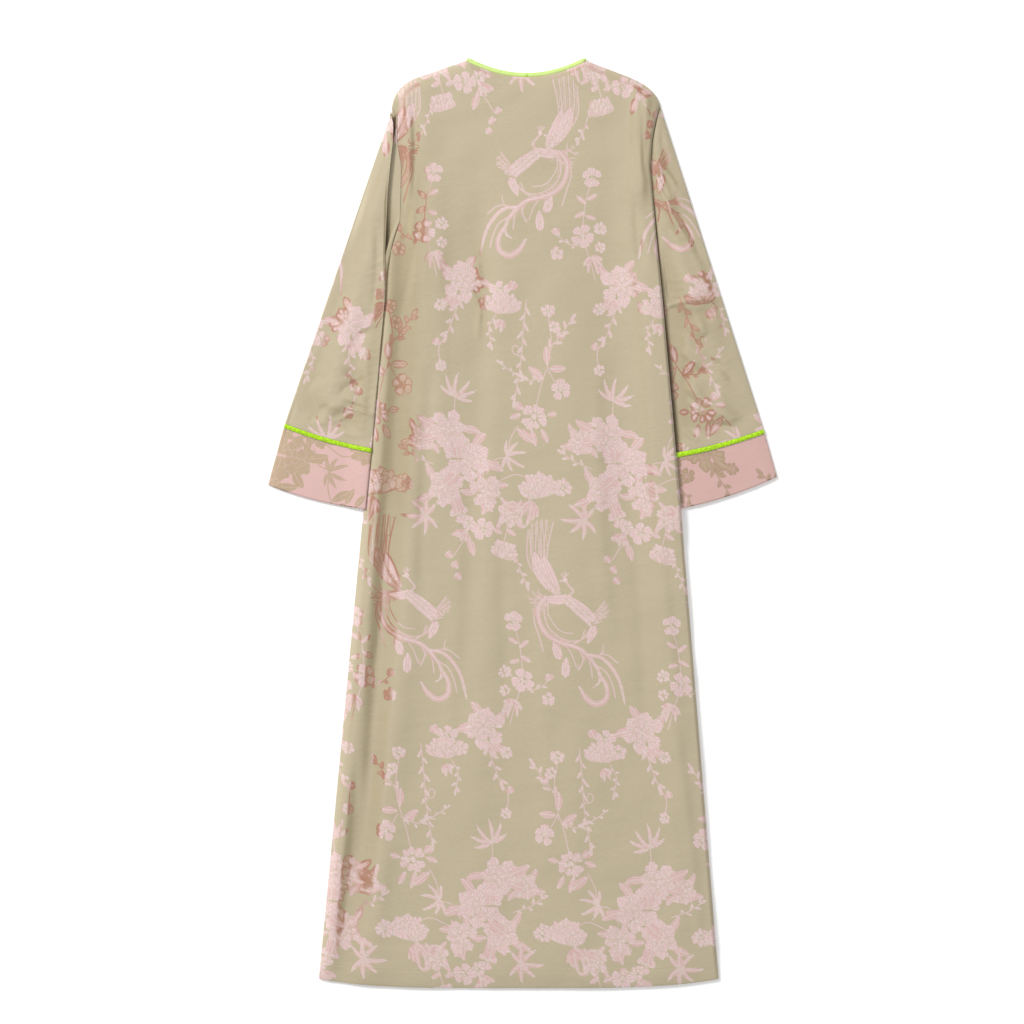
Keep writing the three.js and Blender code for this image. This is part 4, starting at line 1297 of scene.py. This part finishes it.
def satin_material():
    """Lime satin over cord, with a painted highlight where it faces up at the neck, and short pulls
    along it.
    """
    material, shader = new_material("satin_piping")
    add = partial(add_node, material)
    crown = add("Attribute", attribute_name="crown", give="Fac")
    # Pulls and twists about 3 mm apart
    pull = add("TexNoise", add("TexCoord", give="Object"), inputs={"Scale": 330.0, "Detail": 1.0})
    shaded = add("MapRange", pull, 0.62, 0.36, 0.0, 0.75)
    colour = add("Mix", shaded, inputs={6: to_linear("#baf00e"), 7: to_linear("#8fae10")}, **COLOURS)
    colour = add("Mix", crown, inputs={6: colour, 7: to_linear("#d9ec9c")}, **COLOURS)
    bump = add("Bump", inputs={"Strength": 0.5, "Distance": 0.0008, "Height": pull})
    fill_inputs(material, shader, {"Base Color": colour, "Roughness": 0.36, "Normal": bump})
    return material


satin = satin_material()


def set_attribute(piece, name, values, kind="FLOAT"):
    attribute = piece.data.attributes.new(name, kind, "POINT")
    key = "vector" if kind == "FLOAT_VECTOR" else "value"
    attribute.data.foreach_set(key, np.asarray(values, dtype=np.float32).ravel())


def weave_on(piece, flat_x, flat_y, turned):
    weave = pattern(flat_x, flat_y)
    for label in NOTHING:
        set_attribute(piece, label, getattr(weave, label))
    set_attribute(piece, "turned", turned)
    flat = np.stack([weave.x, weave.y, np.zeros_like(weave.x)], axis=-1)
    set_attribute(piece, "flat", flat, "FLOAT_VECTOR")


body_back, back_grid, back_turned, to_hem = back_panel()
set_attribute(body_back, "hem", to_hem)
body_front, front_grid = front_panel()
cord, crown = neck_cord()
set_attribute(cord, "crown", crown)
pieces = [
    (body_back, "back_panel", "jacquard", jacquard),
    (body_front, "front_panel", "jacquard", jacquard),
    (cord, "neck_piping", "piping", satin),
]
tubes = {}
for side in ("left", "right"):
    for make, node, slot, material in (
        (sleeve, "sleeve", "jacquard", jacquard),
        (cuff, "cuff", "jacquard_reverse", reverse),
        (cuff_piping, "cuff_piping", "piping", satin),
    ):
        piece, grid = make(side)
        tubes[f"{node}_{side}"] = piece, grid
        pieces.append((piece, f"{node}_{side}", slot, material))

# The repeats run slightly downhill across the body
DOWNHILL = 0.03
back_x, back_y = back_grid[..., 0], back_grid[..., 1]
# Bands of painted shade on the back, where its ground darkens and its figures turn rust-brown. A band's
# height is how much they turn.
BACK_SHADE_BANDS = [
    Fold(-168, 560, -196, 0, -8, 32, 0.6),
    Fold(-190, 140, -262, -660, -10, 22, 0.08),
    Fold(196, 640, 184, 470, 4, 8, 0.5),
    Fold(-188, 640, -178, 500, 0, 8, 0.3),
    Fold(-66, 410, -60, 280, 0, 9, 0.3),
    Fold(-182, 430, -194, 310, 0, 13, 0.7),
]
back_turned = back_turned + fold_height(BACK_SHADE_BANDS, back_x, back_y)
# Painted shade in the troughs of the large folds
back_turned += 0.16 * smooth(-fold_height(BACK_FOLDS, back_x, back_y), 0.2, 2.6)
weave_on(body_back, back_x, back_y + DOWNHILL * back_x, np.minimum(back_turned, 1))
weave_on(body_front, front_grid[..., 0], front_grid[..., 1], np.zeros(front_grid[..., 0].shape))


# How each tube was cut from the cloth: the turn of its grain, the place in the repeat, and the
# place in the photograph where that lies
CUTS = {
    "sleeve_left": (-0.27, (82, 133), (350, 325)),
    "sleeve_right": (0.27, (41, 150), (700, 290)),
    "cuff_left": (math.pi - 0.25, (80, 312), (290, 455)),
    "cuff_right": (0.22, (82, 133), (705, 450)),
}
# Painted shade over the whole of each tube, as a share of turned
LEANING = {"sleeve_left": 0.04, "sleeve_right": 0.08, "cuff_left": 0.0, "cuff_right": 0.25}
# How far above 1 the painted shadow in the fold over the left armhole and beside the body's edge goes
PAINTED_SHADOW_LEVEL = 2
# Bands of painted shade along the sleeves, where the ground darkens and the figures turn rust-brown,
# like those of the back
SLEEVE_SHADE_BANDS = {
    "sleeve_left": [Fold(-208, 350, -236, 160, 0, 9, 0.5), Fold(-262, 150, -232, 140, 0, 10, 0.2)],
    "sleeve_right": [
        Fold(258, 330, 272, 150, 0, 12, 0.2),
        Fold(206, 560, 232, 440, 0, 11, 0.28),
        Fold(240, 420, 262, 360, 0, 11, 0.16),
        Fold(236, 300, 244, 130, 0, 7, 0.22),
        Fold(222, 310, 290, 318, 0, 13, 0.2),
    ],
}


for name, (turn, motif_place, photo_point) in CUTS.items():
    piece, grid = tubes[name]
    at_x, at_y = garment_place(photo_point)
    bird_x, bird_y = garment_place(BIRD)
    x, y = grid[..., 0] - at_x, grid[..., 1] - at_y
    flat_x = bird_x + motif_place[0] * PHOTO_SCALE + x * math.cos(turn) + y * math.sin(turn)
    flat_y = bird_y - motif_place[1] * PHOTO_SCALE + y * math.cos(turn) - x * math.sin(turn)
    columns = np.linspace(0, 1, SLEEVE_COLUMNS + 1 if "sleeve" in name else CUFF_COLUMNS + 1)
    inner = np.zeros(grid.shape[1])
    inner[:len(columns)] = smooth(np.minimum(columns, 1 - columns), 0.02, 0.1)
    folds = {"sleeve_left": LEFT_FOLDS, "sleeve_right": RIGHT_FOLDS}.get(name, [])
    # Painted shade where the cloth turns and in the troughs of its folds
    trough = smooth(-fold_height(folds, grid[..., 0], grid[..., 1]), 0.2, 2.4)
    turned = np.minimum((turned_by(grid) + 0.3 * trough) * inner + LEANING[name], 1)
    turned = np.minimum(turned + fold_height(SLEEVE_SHADE_BANDS.get(name, []), grid[..., 0], grid[..., 1]), 1)
    if name == "sleeve_left":
        # Painted shadow: the fold over the armhole is painted dark inside, and more of it lower down
        layer = np.arange(grid.shape[0])[:, None]
        t = np.zeros(grid.shape[1])
        t[:len(columns)] = columns
        start = np.interp(t, [0, 0.14, 0.26, 0.5, 0.7, 1], [-1, 0, 4, 3, 0.5, 0.5])
        full = np.interp(t, [0, 0.14, 0.3, 1], [1, 2, 6, 5])
        dark = smooth(layer, start, full) * (1 - smooth(layer, 13, 18))
        ends = smooth(t, 0, 0.06) * (1 - smooth(t, 0.74, 0.86))
        turned = np.maximum(turned, PAINTED_SHADOW_LEVEL * dark * ends)
    if name == "sleeve_right":
        # and the body's shadow is painted on the sleeve beside the body's edge, in a band that widens
        # downwards
        beside_body = grid[..., 0] - side_at("right", grid[..., 1])
        width = mix(4.0, 14.0, smooth(-grid[..., 1], -420, -200))
        dark = (1 - smooth(beside_body, 0.5, width)) * smooth(-grid[..., 1], -560, -440)
        turned = np.maximum(turned, (1 + PAINTED_SHADOW_LEVEL) * 0.62 * dark)
    weave_on(piece, flat_x, flat_y, turned)

for piece, node, slot, material in pieces:
    piece.data.materials.append(material)
    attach(piece, "root")
    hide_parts(node)


def add_stage():
    corners = [(-6, -6, 0), (6, -6, 0), (6, 6, 0), (-6, 6, 0)]
    floor = add_mesh("floor", corners, [[0, 1, 2, 3]])
    # Bare white paper, lit a little from behind so that it stays white right out to its edges
    paper, shader = new_material("backdrop_paper")
    fill_inputs(paper, shader, {
        "Base Color": to_linear("#ffffff"), "Roughness": 0.9,
        "Emission Color": to_linear("#ffffff"), "Emission Strength": 0.1})
    floor.data.materials.append(paper)


def add_light(name, place, size, power):
    data = bpy.data.lights.new(name, "AREA")
    data.size = size
    data.energy = power
    light = bpy.data.objects.new(name, data)
    light.location = place
    light.rotation_euler = (Vector((0, 0, 0)) - Vector(place)).to_track_quat("-Z", "Y").to_euler()
    bpy.context.collection.objects.link(light)


add_stage()
add_light("window", (-4.7, 3.9, 3.9), 1.7, 430)
world = bpy.data.worlds.new("room")
world.use_nodes = True
bpy.context.scene.world = world
world.node_tree.nodes["Background"].inputs["Color"].default_value = (1, 1, 1, 1)
world.node_tree.nodes["Background"].inputs["Strength"].default_value = 0.61
bpy.context.scene.view_settings.view_transform = "Standard"
